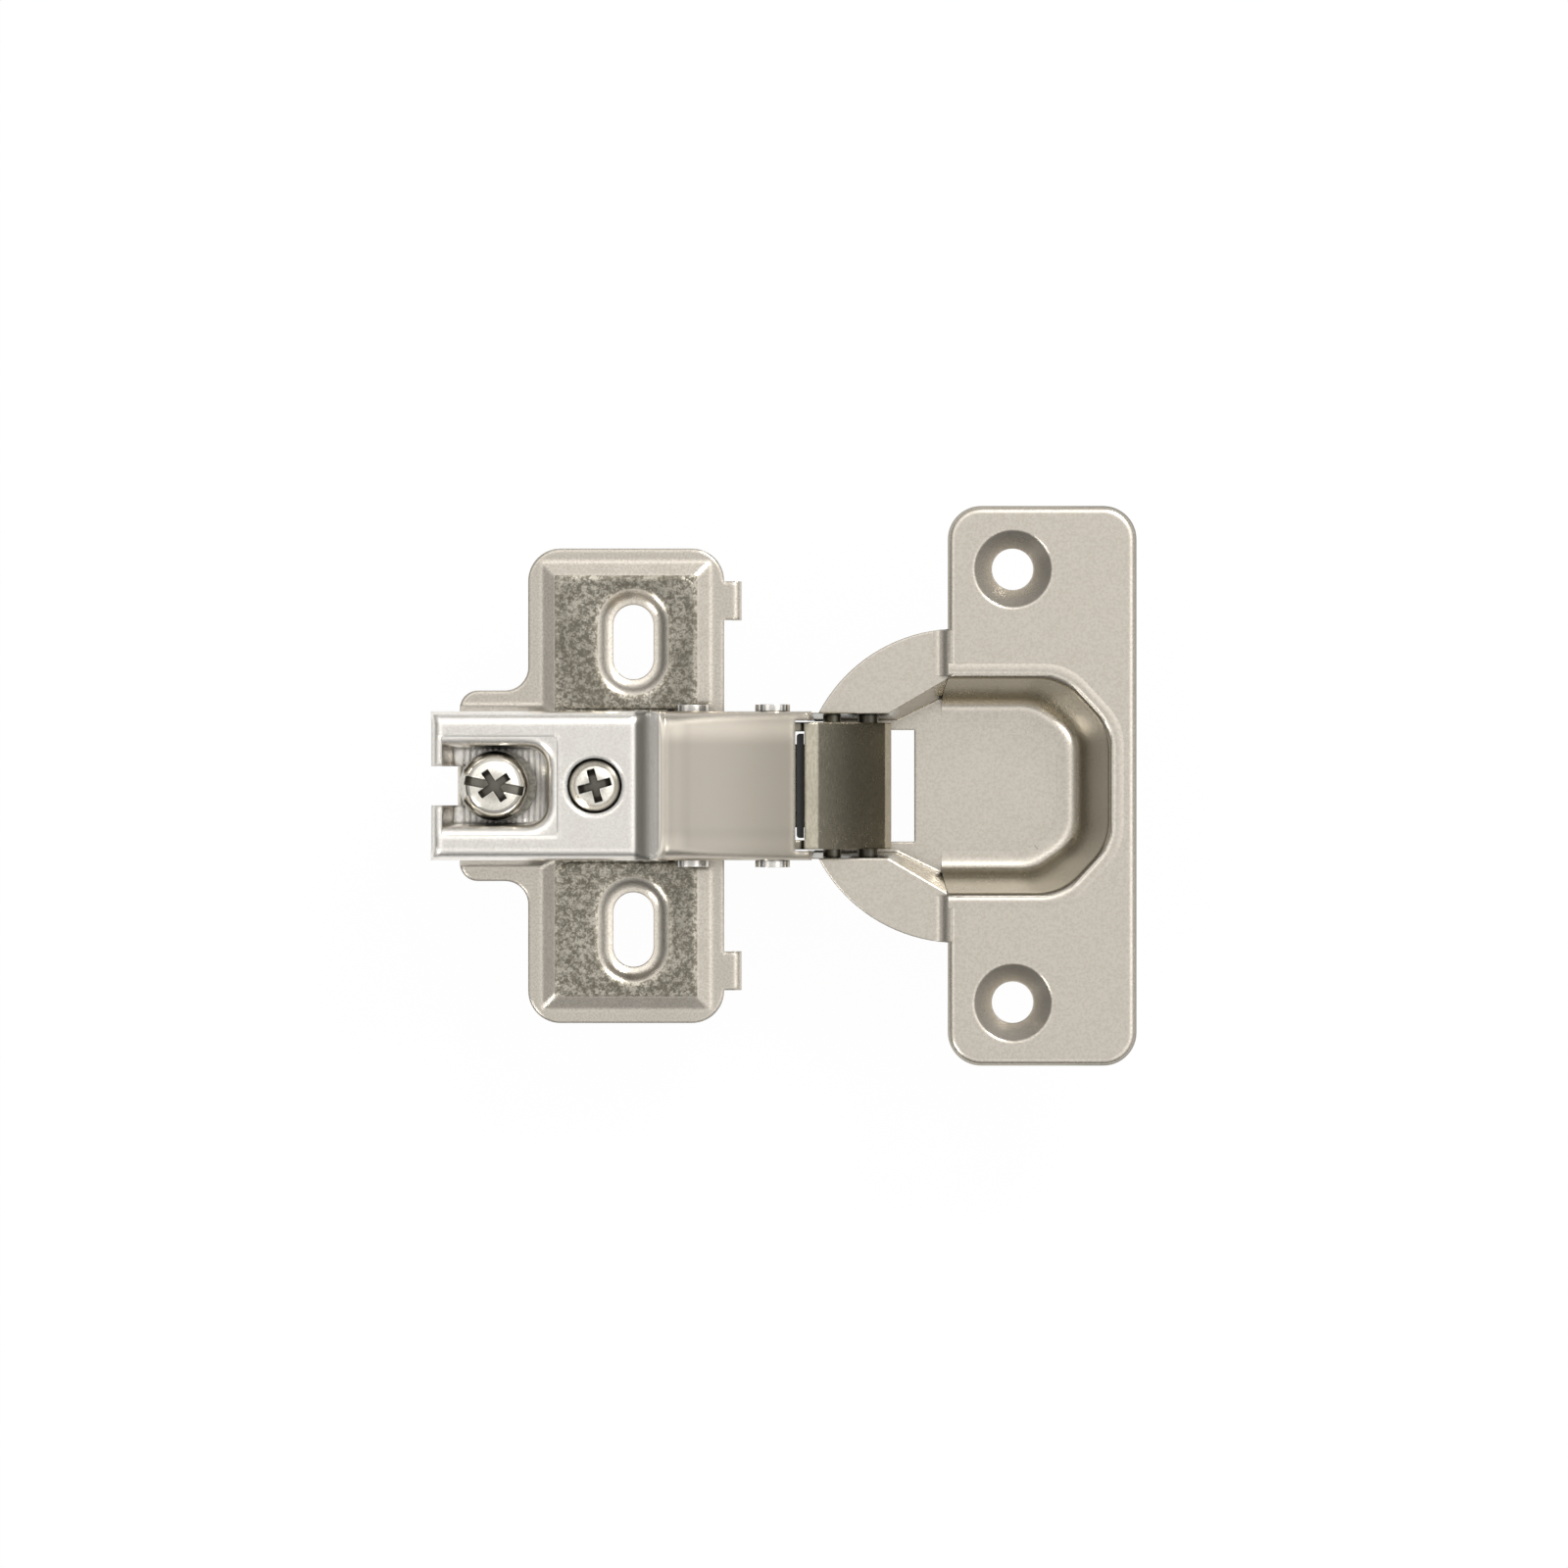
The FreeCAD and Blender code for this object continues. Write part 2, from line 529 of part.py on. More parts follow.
def arm_holes(body):
    """The tapped collar of the overlay screw and the holes of the two rivets."""
    collar = draw_circle(body, "collar_outline", "XY_Plane", "-overlay_place", "0",
                         "overlay_radius + arm_sheet", "arm_top - arm_sheet / 2")
    extrude(body, "collar", collar, "2.6 * arm_sheet", backwards=True)
    bore = draw_circle(body, "bore_outline", "XY_Plane", "-overlay_place", "0",
                       "overlay_radius + fit", "arm_top")
    extrude(body, "bore", bore, "4 * arm_sheet", cut=True)
    for place in ("front", "rear"):
        hole = draw_circle(body, place + "_hole_outline", "XZ_Plane", place + "_x",
                           place + "_z", "rivet_radius + fit / 2")
        extrude(body, place + "_hole", hole, "2 * arm_half + 2", symmetric=True, cut=True)


# Screws


def screw_recess(body, name, place, top, arm, depth, turn, blades):
    """A recess of crossing slots, cut down from the top of a screw."""
    for number, (reach, angle) in enumerate(blades):
        corners = rectangle("-" + reach, reach, "-" + arm, arm)
        blade = draw_outline(body, "%s_%d" % (name, number), "XY_Plane", corners, top)
        blade.setExpression("AttachmentOffset.Base.x", formula("-" + place))
        blade.setExpression("AttachmentOffset.Rotation.Angle", formula("%s + %d" % (turn, angle)))
        extrude(body, "%s_cut_%d" % (name, number), blade, depth, cut=True)


def build_clamp_screw():
    body = new_body("clamp_screw")
    seat = "bridge_top + seat_gap + arm_sheet + washer_sheet"
    top = seat + " + clamp_head_height"
    head = draw_circle(body, "head_outline", "XY_Plane", "-clamp_place", "0", "clamp_head", seat)
    extrude(body, "head", head, "clamp_head_height")
    high = value(top)
    round_edges(body, "head_rounding", "0.45 * clamp_head_height",
                lambda edge: all(near(vertex.Z, high) for vertex in edge.Vertexes))
    shank = draw_circle(body, "shank_outline", "XY_Plane", "-clamp_place", "0",
                        "clamp_shank", seat)
    low = "bridge_top - plate_sheet - nut_height + 0.5"
    extrude(body, "shank", shank, "(%s) - (%s)" % (seat, low), backwards=True)
    screw_recess(body, "recess", "clamp_place", top, "clamp_head * 0.11", "clamp_head_height * 0.6",
                 "-clamp_turn", [("(clamp_head * 0.5)", 45), ("(clamp_head * 0.5)", 135)])
    screw_recess(body, "slot", "clamp_place", top, "clamp_head * 0.13", "clamp_head_height * 0.4",
                 "-clamp_turn", [("(clamp_head * 0.86)", 0)])
    return body


def build_clamp_washer():
    body = new_body("clamp_washer")
    seat = "bridge_top + seat_gap + arm_sheet"
    disc = draw_circle(body, "disc_outline", "XY_Plane", "-clamp_place + washer_offset", "0",
                       "washer_radius", seat)
    extrude(body, "disc", disc, "washer_sheet")
    hole = draw_circle(body, "hole_outline", "XY_Plane", "-clamp_place", "0",
                       "clamp_shank + fit", seat)
    extrude(body, "hole", hole, "washer_sheet", backwards=True, cut=True)
    return body


def build_clamp_nut():
    body = new_body("clamp_nut")
    under = "bridge_top - plate_sheet"
    block = draw_circle(body, "block_outline", "XY_Plane", "-clamp_place", "0", "nut_radius",
                        under + " - nut_height")
    extrude(body, "block", block, "nut_height")
    neck = draw_circle(body, "neck_outline", "XY_Plane", "-clamp_place", "0",
                       "clamp_shank + 0.8 - fit", under)
    extrude(body, "neck", neck, "plate_sheet * 0.9")
    bore = draw_circle(body, "bore_outline", "XY_Plane", "-clamp_place", "0",
                       "clamp_shank + fit", "bridge_top")
    extrude(body, "bore", bore, "nut_height + plate_sheet", cut=True)
    return body


def build_overlay_screw():
    body = new_body("overlay_screw")
    top = "arm_top - overlay_sink"
    thread = draw_circle(body, "thread_outline", "XY_Plane", "-overlay_place", "0",
                         "overlay_radius", "bridge_top + fit")
    extrude(body, "thread", thread, "(%s) - bridge_top - fit" % top)
    high = value(top)
    round_edges(body, "top_rounding", "overlay_radius * 0.12",
                lambda edge: all(near(vertex.Z, high) for vertex in edge.Vertexes))
    neck = draw_circle(body, "neck_outline", "XY_Plane", "-overlay_place", "0",
                       "overlay_neck", "bridge_top + fit")
    extrude(body, "neck", neck, "plate_sheet + 2 * fit", backwards=True)
    foot = draw_circle(body, "foot_outline", "XY_Plane", "-overlay_place", "0",
                       "overlay_foot", "bridge_top - plate_sheet - fit")
    extrude(body, "foot", foot, "foot_sheet", backwards=True)
    screw_recess(body, "recess", "overlay_place", top, "overlay_radius * 0.15", "overlay_radius * 0.6",
                 "overlay_turn", [("(overlay_radius * 0.62)", 0), ("(overlay_radius * 0.62)", 90)])
    return body


# Rivets and pins


def build_pin(label, place, radius, inner_end, outer_end, heads):
    """A pin along Y between two distances from the middle, with or without heads."""
    body = new_body(label)
    shaft = draw_circle(body, "shaft_outline", "XZ_Plane", place + "_x", place + "_z", radius,
                        "-(%s)" % outer_end)
    extrude(body, "shaft", shaft, "(%s) - (%s)" % (outer_end, inner_end))
    for number, lift in enumerate(heads):
        head = draw_circle(body, "head_outline_%d" % number, "XZ_Plane", place + "_x",
                           place + "_z", "rivet_head", lift)
        extrude(body, "head_%d" % number, head, "rivet_head_height")
    return body


def build_rivet(place):
    return build_pin(place + "_rivet", place, "rivet_radius", "-arm_half - fit", "arm_half + fit",
                     ["-arm_half - rivet_head_height - fit / 2", "arm_half + fit / 2"])


# Links


def build_outer_link():
    body = new_body("outer_link")
    side = [("front_x - front_eye", "front_z - 0.5 * front_eye"),
            ("front_x - front_eye", "front_z + 0.5 * front_eye"),
            ("front_x - 0.5 * front_eye", "front_z + front_eye"),
            ("front_x + 0.3 * front_eye", "front_z + front_eye"),
            ("web_start - 0.2 * front_eye", "front_z + 0.8 * front_eye"),
            ("web_start", "front_z + front_eye"),
            ("web_start + 0.6 * cup_eye", "front_z + 0.8 * front_eye"),
            ("outer_x + 0.72 * cup_eye", "outer_z + 0.72 * cup_eye"),
            ("outer_x + cup_eye", "outer_z"),
            ("outer_x + 0.72 * cup_eye", "outer_z - 0.72 * cup_eye"),
            ("outer_x", "outer_z - 0.9 * cup_eye"),
            ("outer_x - 0.6 * cup_eye", "outer_z - 0.6 * cup_eye"),
            ("outer_x - 0.85 * cup_eye", "outer_z"),
            ("outer_x - 0.68 * cup_eye", "outer_z + cup_eye"),
            ("inner_x + 0.3 * inner_pin_radius", "inner_z + 3.1 * inner_pin_radius"),
            ("web_start + front_eye", "crank_bottom"),
            ("front_x + 1.2 * front_eye", "crank_bottom"),
            ("front_x - 0.4 * front_eye", "front_z - front_eye")]
    cheeks = draw_outline(body, "link_side", "XZ_Plane", side)
    extrude(body, "link_block", cheeks, "2 * outer_half", symmetric=True)
    room = [("front_x - 2 * front_eye", "outer_z - 2 * cup_eye"),
            ("outer_x + 2 * cup_eye", "outer_z - 2 * cup_eye"),
            ("outer_x + 2 * cup_eye", "outer_z"),
            ("outer_x + cup_eye - link_sheet", "outer_z"),
            ("outer_x + 0.72 * cup_eye - 0.8 * link_sheet", "outer_z + 0.72 * cup_eye - 0.6 * link_sheet"),
            ("web_start + 0.6 * cup_eye - 0.5 * link_sheet", "front_z + 0.8 * front_eye - 1.1 * link_sheet"),
            ("web_start", "front_z + front_eye - link_sheet"),
            ("web_start", "front_z + 2 * front_eye"),
            ("front_x - 2 * front_eye", "front_z + 2 * front_eye")]
    hollow = draw_outline(body, "link_room", "XZ_Plane", room)
    extrude(body, "link_hollow", hollow, "2 * (outer_half - link_sheet)", symmetric=True, cut=True)
    for place in ("front", "outer"):
        hole = draw_circle(body, place + "_hole_outline", "XZ_Plane", place + "_x",
                           place + "_z", "rivet_radius + fit")
        extrude(body, place + "_hole", hole, "2 * outer_half + 2", symmetric=True, cut=True)
    return body


def build_inner_link():
    body = new_body("inner_link")
    side = [("rear_x - rear_eye", "rear_z - 0.5 * rear_eye"),
            ("rear_x - rear_eye", "rear_z + 0.5 * rear_eye"),
            ("rear_x - 0.5 * rear_eye", "rear_z + rear_eye"),
            ("crank_back", "crank_top"), ("crank_front", "crank_top"),
            ("crank_front + 1.1 * strap", "crank_top - 1.2 * strap"),
            ("crank_front + 1.35 * strap", "crank_top - 2.1 * strap"),
            ("inner_x + 1.5 * inner_pin_radius", "inner_z + 2.3 * inner_pin_radius"),
            ("inner_x + 2.5 * inner_pin_radius", "inner_z + 1.65 * inner_pin_radius"),
            ("inner_x + 3.1 * inner_pin_radius", "inner_z + 0.6 * inner_pin_radius"),
            ("inner_x + 2.2 * inner_pin_radius", "inner_z - fork_reach"),
            ("inner_x - 1.2 * inner_pin_radius", "inner_z - fork_reach"),
            ("inner_x - 2.9 * inner_pin_radius", "inner_z"),
            ("inner_x - 2.9 * inner_pin_radius", "crank_bottom"),
            ("crank_back", "crank_bottom"),
            ("rear_x + rear_eye", "rear_z - 0.2 * rear_eye"),
            ("rear_x + 0.5 * rear_eye", "rear_z - rear_eye"),
            ("rear_x - 0.5 * rear_eye", "rear_z - rear_eye")]
    cheeks = draw_outline(body, "link_side", "XZ_Plane", side)
    extrude(body, "link_block", cheeks, "2 * inner_half", symmetric=True)
    rear_room = rectangle("rear_x - 2 * rear_eye", "crank_back - 0.5 * strap",
                          "rear_z - 2 * rear_eye", "rear_z + 0.45 * rear_eye")
    hollow = draw_outline(body, "rear_room", "XZ_Plane", rear_room)
    extrude(body, "rear_hollow", hollow, "2 * (inner_half - inner_sheet)", symmetric=True, cut=True)
    front_room = rectangle("crank_front + 0.2 * strap", "outer_x", "inner_z - 3 * fork_reach",
                           "inner_z + 1.3 * inner_pin_radius")
    hollow = draw_outline(body, "front_room", "XZ_Plane", front_room)
    extrude(body, "front_hollow", hollow, "2 * (inner_half - inner_sheet)", symmetric=True, cut=True)
    hole = draw_circle(body, "rear_hole_outline", "XZ_Plane", "rear_x", "rear_z",
                       "rivet_radius + fit")
    extrude(body, "rear_hole", hole, "2 * inner_half + 2", symmetric=True, cut=True)
    left = "fork_shift - inner_pin_radius - fork_room"
    right = "fork_shift + inner_pin_radius + fork_room"
    fork = draw_outline(body, "fork_outline", "XZ_Plane", [
        (left, "-3 * fork_reach"), (right, "-3 * fork_reach"), (right, "0.6 * fork_top"),
        (right + " - 0.3 * fork_top", "fork_top"), (left + " + 0.6 * fork_top", "fork_top"),
        (left, "0.45 * fork_top")])
    fork.setExpression("AttachmentOffset.Base.x", formula("inner_x"))
    fork.setExpression("AttachmentOffset.Base.y", formula("inner_z"))
    fork.setExpression("AttachmentOffset.Rotation.Angle", formula("-fork_tilt"))
    extrude(body, "fork", fork, "2 * inner_half + 2", symmetric=True, cut=True)
    return body


# Cup


def tray_mouth(grow):
    """The tray's outline at the level of the wing, grown outwards."""
    return both_sides([("tray_back - %s" % grow, "throat_half + %s" % grow),
                       ("throat_end", "throat_half + %s" % grow),
                       ("tray_side_back", "tray_half + %s" % grow),
                       ("tray_side_front", "tray_half + %s" % grow),
                       ("tray_front + %s" % grow, "tray_nose + %s" % grow)])


def tray_floor(grow):
    """The outline of the tray's floor, grown outwards."""
    return both_sides([("floor_back - %s" % grow, "floor_throat_half + %s" % grow),
                       ("floor_throat_end", "floor_throat_half + %s" % grow),
                       ("floor_side_back", "floor_half + %s" % grow),
                       ("floor_side_front", "floor_half + %s" % grow),
                       ("floor_front + %s" % grow, "floor_nose + %s" % grow)])


def build_cup():
    body = new_body("cup")
    face = "wing_top - wing_sheet"
    disc = draw_circle(body, "rim_outline", "XY_Plane", "cup_x", "0", "cup_radius",
                       face + " - cup_sheet - collar")
    extrude(body, "rim", disc, "cup_sheet + collar")
    inside = draw_circle(body, "collar_outline", "XY_Plane", "cup_x", "0",
                         "cup_radius - cup_sheet", face + " - cup_sheet - collar")
    extrude(body, "collar_hollow", inside, "collar", backwards=True, cut=True)
    wing = draw_outline(body, "wing_outline", "XY_Plane", rectangle(
        "wing_back", "wing_front", "-wing_half", "wing_half"), face)
    extrude(body, "wing", wing, "wing_sheet")
    round_edges(body, "wing_corners", "wing_corner", upright_at(
        [(x, y) for x in ("wing_back", "wing_front") for y in ("wing_half", "-wing_half")]))
    top = value("wing_top")
    round_edges(body, "wing_rounding", "wing_edge",
                lambda edge: all(near(vertex.Z, top) for vertex in edge.Vertexes))
    low = draw_outline(body, "tray_base_outline", "XY_Plane", tray_floor("cup_sheet"),
                       "wing_top - tray_depth - cup_sheet")
    high = draw_outline(body, "tray_body_outline", "XY_Plane", tray_mouth("0"), face)
    loft(body, "tray_body", low, high)
    low = draw_outline(body, "tray_floor_outline", "XY_Plane", tray_floor("0"),
                       "wing_top - tray_depth")
    high = draw_outline(body, "tray_mouth_outline", "XY_Plane", tray_mouth("0"), "wing_top")
    loft(body, "tray", low, high, cut=True)
    window = draw_outline(body, "window_outline", "XY_Plane", rectangle(
        "window_back", "window_front", "-window_half", "window_half"), "wing_top - tray_depth")
    extrude(body, "window", window, "2 * cup_sheet", cut=True)
    gap = draw_outline(body, "link_gap_outline", "XY_Plane", rectangle(
        "cup_x - cup_radius - 1", "window_back + 1", "-link_gap_half", "link_gap_half"), face)
    extrude(body, "link_gap", gap, "tray_depth", cut=True)
    for place, radius in (("outer", "rivet_radius"), ("inner", "inner_pin_radius")):
        hole = draw_circle(body, place + "_hole_outline", "XZ_Plane", place + "_x",
                           place + "_z", radius + " + fit / 2")
        extrude(body, place + "_hole", hole, "2 * (throat_half + cup_sheet)", symmetric=True,
                cut=True)
    cup_screw_holes(body)
    return body


def cup_screw_holes(body):
    """The two countersinks, pressed down into the door."""
    face = "wing_top - wing_sheet"
    for side, sign in (("left", ""), ("right", "-")):
        middle = "%shole_pitch / 2" % sign
        low = draw_circle(body, "sink_base_" + side, "XY_Plane", "hole_x", middle,
                          "hole_radius + 0.9", "wing_top - sink_depth - 0.6")
        high = draw_circle(body, "sink_body_" + side, "XY_Plane", "hole_x", middle,
                           "sink_radius", face + " + 0.1")
        loft(body, "sink_sheet_" + side, low, high)
        low = draw_circle(body, "sink_low_" + side, "XY_Plane", "hole_x", middle,
                          "hole_radius", "wing_top - sink_depth")
        high = draw_circle(body, "sink_high_" + side, "XY_Plane", "hole_x", middle,
                           "sink_radius", "wing_top")
        loft(body, "sink_" + side, low, high, cut=True)
        hole = draw_circle(body, "screw_hole_outline_" + side, "XY_Plane", "hole_x", middle,
                           "hole_radius", "wing_top")
        extrude(body, "screw_hole_" + side, hole, "2 * sink_depth", cut=True)


# Closing spring and shoe


COIL_STEPS = 12  # control points in a turn of the spring's coil


def spring_half():
    """Control points of the spring's middle line on the +Y side, from the tip of its leg."""
    wire = value("wire")
    leg_y = value("inner_half") + value("spring_gap") + wire / 2
    tip = Vector(value("shoe_back") - 2 * value("spring_gap"), leg_y, value("shoe_low") + wire / 2)
    under_rivet = Vector(value("front_x"), leg_y,
                         value("front_z") - value("rivet_radius") - value("spring_gap") - wire)
    points = [tip, (tip + under_rivet) / 2, under_rivet]
    # A cubic curve runs inside its control points, so these lie on a larger circle.
    step_angle = 360 / COIL_STEPS
    radius = 3 * value("coil_radius") / (2 + math.cos(math.radians(step_angle)))
    steps = round(COIL_STEPS * (value("coil_turns") + 0.75))
    for step in range(steps + 1):
        angle = math.radians(90 + step * step_angle)
        points.append(Vector(value("rear_x") + radius * math.cos(angle),
                             leg_y + value("coil_pitch") * step / COIL_STEPS,
                             value("rear_z") + radius * math.sin(angle)))
    rise = points[-1]
    top = value("spring_top")
    points.append(Vector(rise.x, rise.y, (rise.z + top) / 2))
    points.append(Vector(rise.x, rise.y, top - wire))
    points.append(Vector(rise.x, rise.y, top))
    points.append(Vector(rise.x, rise.y - wire, top))
    return points


def build_spring():
    """A double torsion spring: two coils on the rear rivet, joined under the arm's top."""
    half = spring_half()
    points = half + [Vector(point.x, -point.y, point.z) for point in reversed(half)]
    middle_line = Part.BSplineCurve()
    middle_line.buildFromPoles(points, False, 3)
    section = Part.Circle(middle_line.value(0), middle_line.tangent(0)[0], value("wire") / 2)
    spine = Part.Wire([middle_line.toShape()])
    spring = doc.addObject("Part::Feature", "closing_spring")
    spring.Label = "closing_spring"
    spring.Shape = spine.makePipeShell([Part.Wire([section.toShape()])], True, True)
    return spring


def build_shoe():
    body = new_body("spring_shoe")
    block = draw_outline(body, "shoe_section", "XZ_Plane", rectangle(
        "shoe_back", "web_start - fit", "shoe_low", "shoe_top"))
    extrude(body, "shoe", block, "2 * shoe_half", symmetric=True)
    round_edges(body, "shoe_corners", "0.35", upright_at(
        [("shoe_back", "shoe_half"), ("shoe_back", "-shoe_half")]))
    return body


# All sub-parts


SUB_PARTS = [
    build_plate(), build_arm(), build_clamp_screw(), build_clamp_washer(), build_clamp_nut(),
    build_overlay_screw(), build_rivet("front"), build_rivet("rear"), build_outer_link(),
    build_inner_link(), build_cup(), build_shoe(), build_spring(),
    build_pin("outer_cup_pin_left", "outer", "rivet_radius", "outer_half - link_sheet - fit",
              "throat_half + cup_sheet", []),
    build_pin("outer_cup_pin_right", "outer", "rivet_radius", "-throat_half - cup_sheet",
              "fit + link_sheet - outer_half", []),
    build_pin("inner_cup_pin", "inner", "inner_pin_radius", "-throat_half - cup_sheet",
              "throat_half + cup_sheet", []),
]
doc.recompute()
for item in doc.Objects:
    if "Invalid" in item.State or "Error" in item.State:
        raise RuntimeError("%s failed: %s" % (item.Label, item.State))
for body in SUB_PARTS:
    if body.Shape.isNull() or not body.Shape.isValid():
        raise RuntimeError("%s has no valid shape" % body.Label)
for body in SUB_PARTS:
    body.Shape.exportStep("parts/%s.step" % body.Label)
    print(body.Label, len(body.Shape.Solids), round(body.Shape.Volume, 1), body.Shape.BoundBox)
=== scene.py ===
import math

import bpy
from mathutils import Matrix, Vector


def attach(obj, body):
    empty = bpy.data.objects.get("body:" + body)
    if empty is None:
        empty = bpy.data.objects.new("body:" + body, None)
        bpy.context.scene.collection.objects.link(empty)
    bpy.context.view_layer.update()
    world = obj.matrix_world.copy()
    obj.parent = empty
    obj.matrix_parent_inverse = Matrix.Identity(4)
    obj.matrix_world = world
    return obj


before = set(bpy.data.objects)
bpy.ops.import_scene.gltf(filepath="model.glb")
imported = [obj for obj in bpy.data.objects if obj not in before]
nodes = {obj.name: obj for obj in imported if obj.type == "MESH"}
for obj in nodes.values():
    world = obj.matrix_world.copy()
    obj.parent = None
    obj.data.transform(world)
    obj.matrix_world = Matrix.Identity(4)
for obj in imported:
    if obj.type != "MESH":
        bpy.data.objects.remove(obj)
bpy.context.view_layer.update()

MILLIMETRES = 1000  # in a metre
MIX_SOCKETS = (0, 6, 7)  # factor and both colours of a mix node

# The set, in metres
PICTURE_WIDTH = 0.1735  # what the photograph spans at the height of the cup's wing
WING_Z = 0.0063
CAMERA_X = 0.01676
CAMERA_Y = 0.0002
CAMERA_HEIGHT = 0.90
CLIP_START, CLIP_END = 0.01, 10
SENSOR = 36.0  # millimetres
FLOOR_Z = -0.0150  # 4 mm under the inner link, which reaches lowest with the cup folded
FLOOR_HALF = 1.5
FLOOR_GREY = 0.86
FLOOR_ROUGHNESS = 0.9
FLOOR_GLOW = 0.97  # share of plain white in the floor, as camera, mirror and glass rays see it

# The studio's light by height, as places on a ramp from straight below to straight above
SKY_BANDS = [(0.0, 0.9), (0.50, 0.50), (0.58, 0.16), (0.66, 0.22), (0.71, 0.85), (0.76, 0.95),
             (0.80, 0.28), (0.84, 1.30), (0.93, 1.70), (0.972, 0.93), (1.0, 0.82)]
SKY_SLANT = (0.55, 0.80)  # how much X and Y add towards the bright side
SKY_SIDES = (-0.95, 0.95)
SKY_DIM = (0.58, 0.58, 0.58)
SKY_BRIGHT = (1.34, 1.34, 1.34)
KEY_PLACE, KEY_SIZE, KEY_POWER = (0.30, 0.45, 0.55), (0.22, 0.16), 2.4
FILL_PLACE, FILL_SIZE, FILL_POWER = (-0.45, -0.35, 0.50), (0.25, 0.18), 1.0

# Colours
BRIGHT = (0.93, 0.90, 0.85)
HEAD = (0.70, 0.67, 0.605)
WARM = (0.69, 0.635, 0.555)
SHADE = (0.44, 0.405, 0.335)
# the links: their own brown-grey tone, darkened further with painted shade from the dark their
# curved faces reflect
LINK_TONE_AND_SHADE = (0.38, 0.35, 0.28)
OLIVE = (0.22, 0.20, 0.15)
# the front boss: partly a duller plating, partly painted shade from the tilt of its top,
# darker still towards its nose
BOSS_PLATING_AND_SHADE = (0.58, 0.53, 0.455)
FRONT_BOSS_PLATING_AND_SHADE = (0.44, 0.40, 0.335)
# painted shade in the groove between the arm's bosses
GROOVE_SHADE = (0.10, 0.095, 0.075)
# painted shade on the tray's steep walls, darkest on the front wall
WALL_SHADE = (0.30, 0.275, 0.215)
FRONT_WALL_SHADE = (0.15, 0.135, 0.10)
PAD_LIGHT = (0.56, 0.52, 0.44)
PAD_DARK = (0.13, 0.115, 0.085)
# painted shade inside the recesses of the screw heads
RECESS_SHADE = (0.14, 0.13, 0.105)
# painted shade: the cup's pins are darker than their nickel, as they sit in shadow
PIN_SHADE = (0.20, 0.19, 0.16)
KNURL = (0.36, 0.34, 0.29)
KNURL_DARK = (0.14, 0.13, 0.11)
WIRE = (0.30, 0.29, 0.27)
WIRE_DARK = (0.16, 0.15, 0.14)
NYLON_DARK = (0.010, 0.010, 0.010)
NYLON_LIGHT = (0.028, 0.027, 0.026)

# Grain, dullness and painted crevice shade that the nickel pieces share, and those of the
# nylon
SLOW_GRAIN = 0.30  # spots to a millimetre
MOTTLE_RANGE = (0.35, 0.7)
SPECKLE_RANGE = (0.38, 0.66)
# painted shade in crevices: how far the occlusion looks, and the range of it that darkens the
# colour
PAINTED_SHADE_REACH = 0.0018
PAINTED_SHADE_RANGE = (0.10, 0.95)
ROUGHNESS_SPREAD = 0.06
ROUGHNESS_DROP = 0.04
SHADER_SAMPLES = 6
NYLON_GRAIN = 2.5
NYLON_ROUGHNESS, NYLON_SPREAD, NYLON_DEPTH = 0.42, 0.2, 0.00002

# Places on the pieces where a finish or a painted shade changes, in metres
PAD_BAND = (0.00205, 0.00215, 0.00230, 0.00245)  # heights about the top of the plate's pads
PAD_GRAIN, PAD_GRAIN_RANGE, PAD_GRAIN_SHARE = 2.0, (0.38, 0.60), 0.85
PAD_PATCH, PAD_PATCH_RANGE, PAD_PATCH_SHARE = 0.22, (0.35, 0.65), 0.35
# where the front boss's duller, painted-shade tone starts, and where it darkens towards its
# nose
BOSS_SHADE_START = (0.0022, 0.0036)
BOSS_SHADE_NOSE = (0.0080, 0.0180)
BOSS_SIDES = (0.0045, 0.0082)
BOSS_REAR = (0.0034, 0.0066)
BOSS_EDGE = (0.0030, 0.0038)
BOSS_FALL = 0.0004
# painted shade in the groove: where it rises and falls along the arm, and how strong it is
GROOVE_SHADE_BAND = (0.0001, 0.0006, 0.0016, 0.0028)
GROOVE_SHADE_SHARE = 0.85
# painted shade on the tray's walls: how steep a face must be, how strong it is, and where
# along the cup the front wall's darker shade comes in
WALL_SHADE_STEEPNESS = (0.20, 0.60)
WALL_SHADE_SHARE = 0.9
FRONT_WALL_SHADE_PLACE = (0.0460, 0.0520)
# axis of a screw, top of its head, reach of its recess, fall of its dome by radius squared
CLAMP_AXIS, CLAMP_TOP, CLAMP_RECESS, CLAMP_DOME = (-0.0151, 0.0), 0.01255, 0.0034, 66.0
OVERLAY_AXIS, OVERLAY_TOP, OVERLAY_RECESS, OVERLAY_DOME = (-0.00407, 0.0), 0.0121, 0.0024, 85.0
# painted shade in a screw's recess: its soft edge, the heights under the head's top where it
# comes in, and its strength
RECESS_SHADE_EDGE = 0.0002
RECESS_SHADE_DEEP, RECESS_SHADE_SHALLOW = 0.0008, 0.0001  # below the top of the head
RECESS_SHADE_SHARE = 0.85

# Skins on the solids, in millimetres
SLOT_PLACE = 16.0
SLOT_RUN = 1.95  # half the distance between the centres of a slot's round ends
DISH_PROFILE = [(2.26, 1.19), (2.40, 1.22), (2.65, 1.26), (2.95, 1.40), (3.25, 1.62),
                (3.55, 1.86), (3.85, 2.06), (4.15, 2.18), (4.45, 2.23)]  # radius and height
PAD_BACK, PAD_FRONT, PAD_NEAR, PAD_FAR = -8.6, 7.0, -7.7, 7.3
PAD_CORNER = 1.6
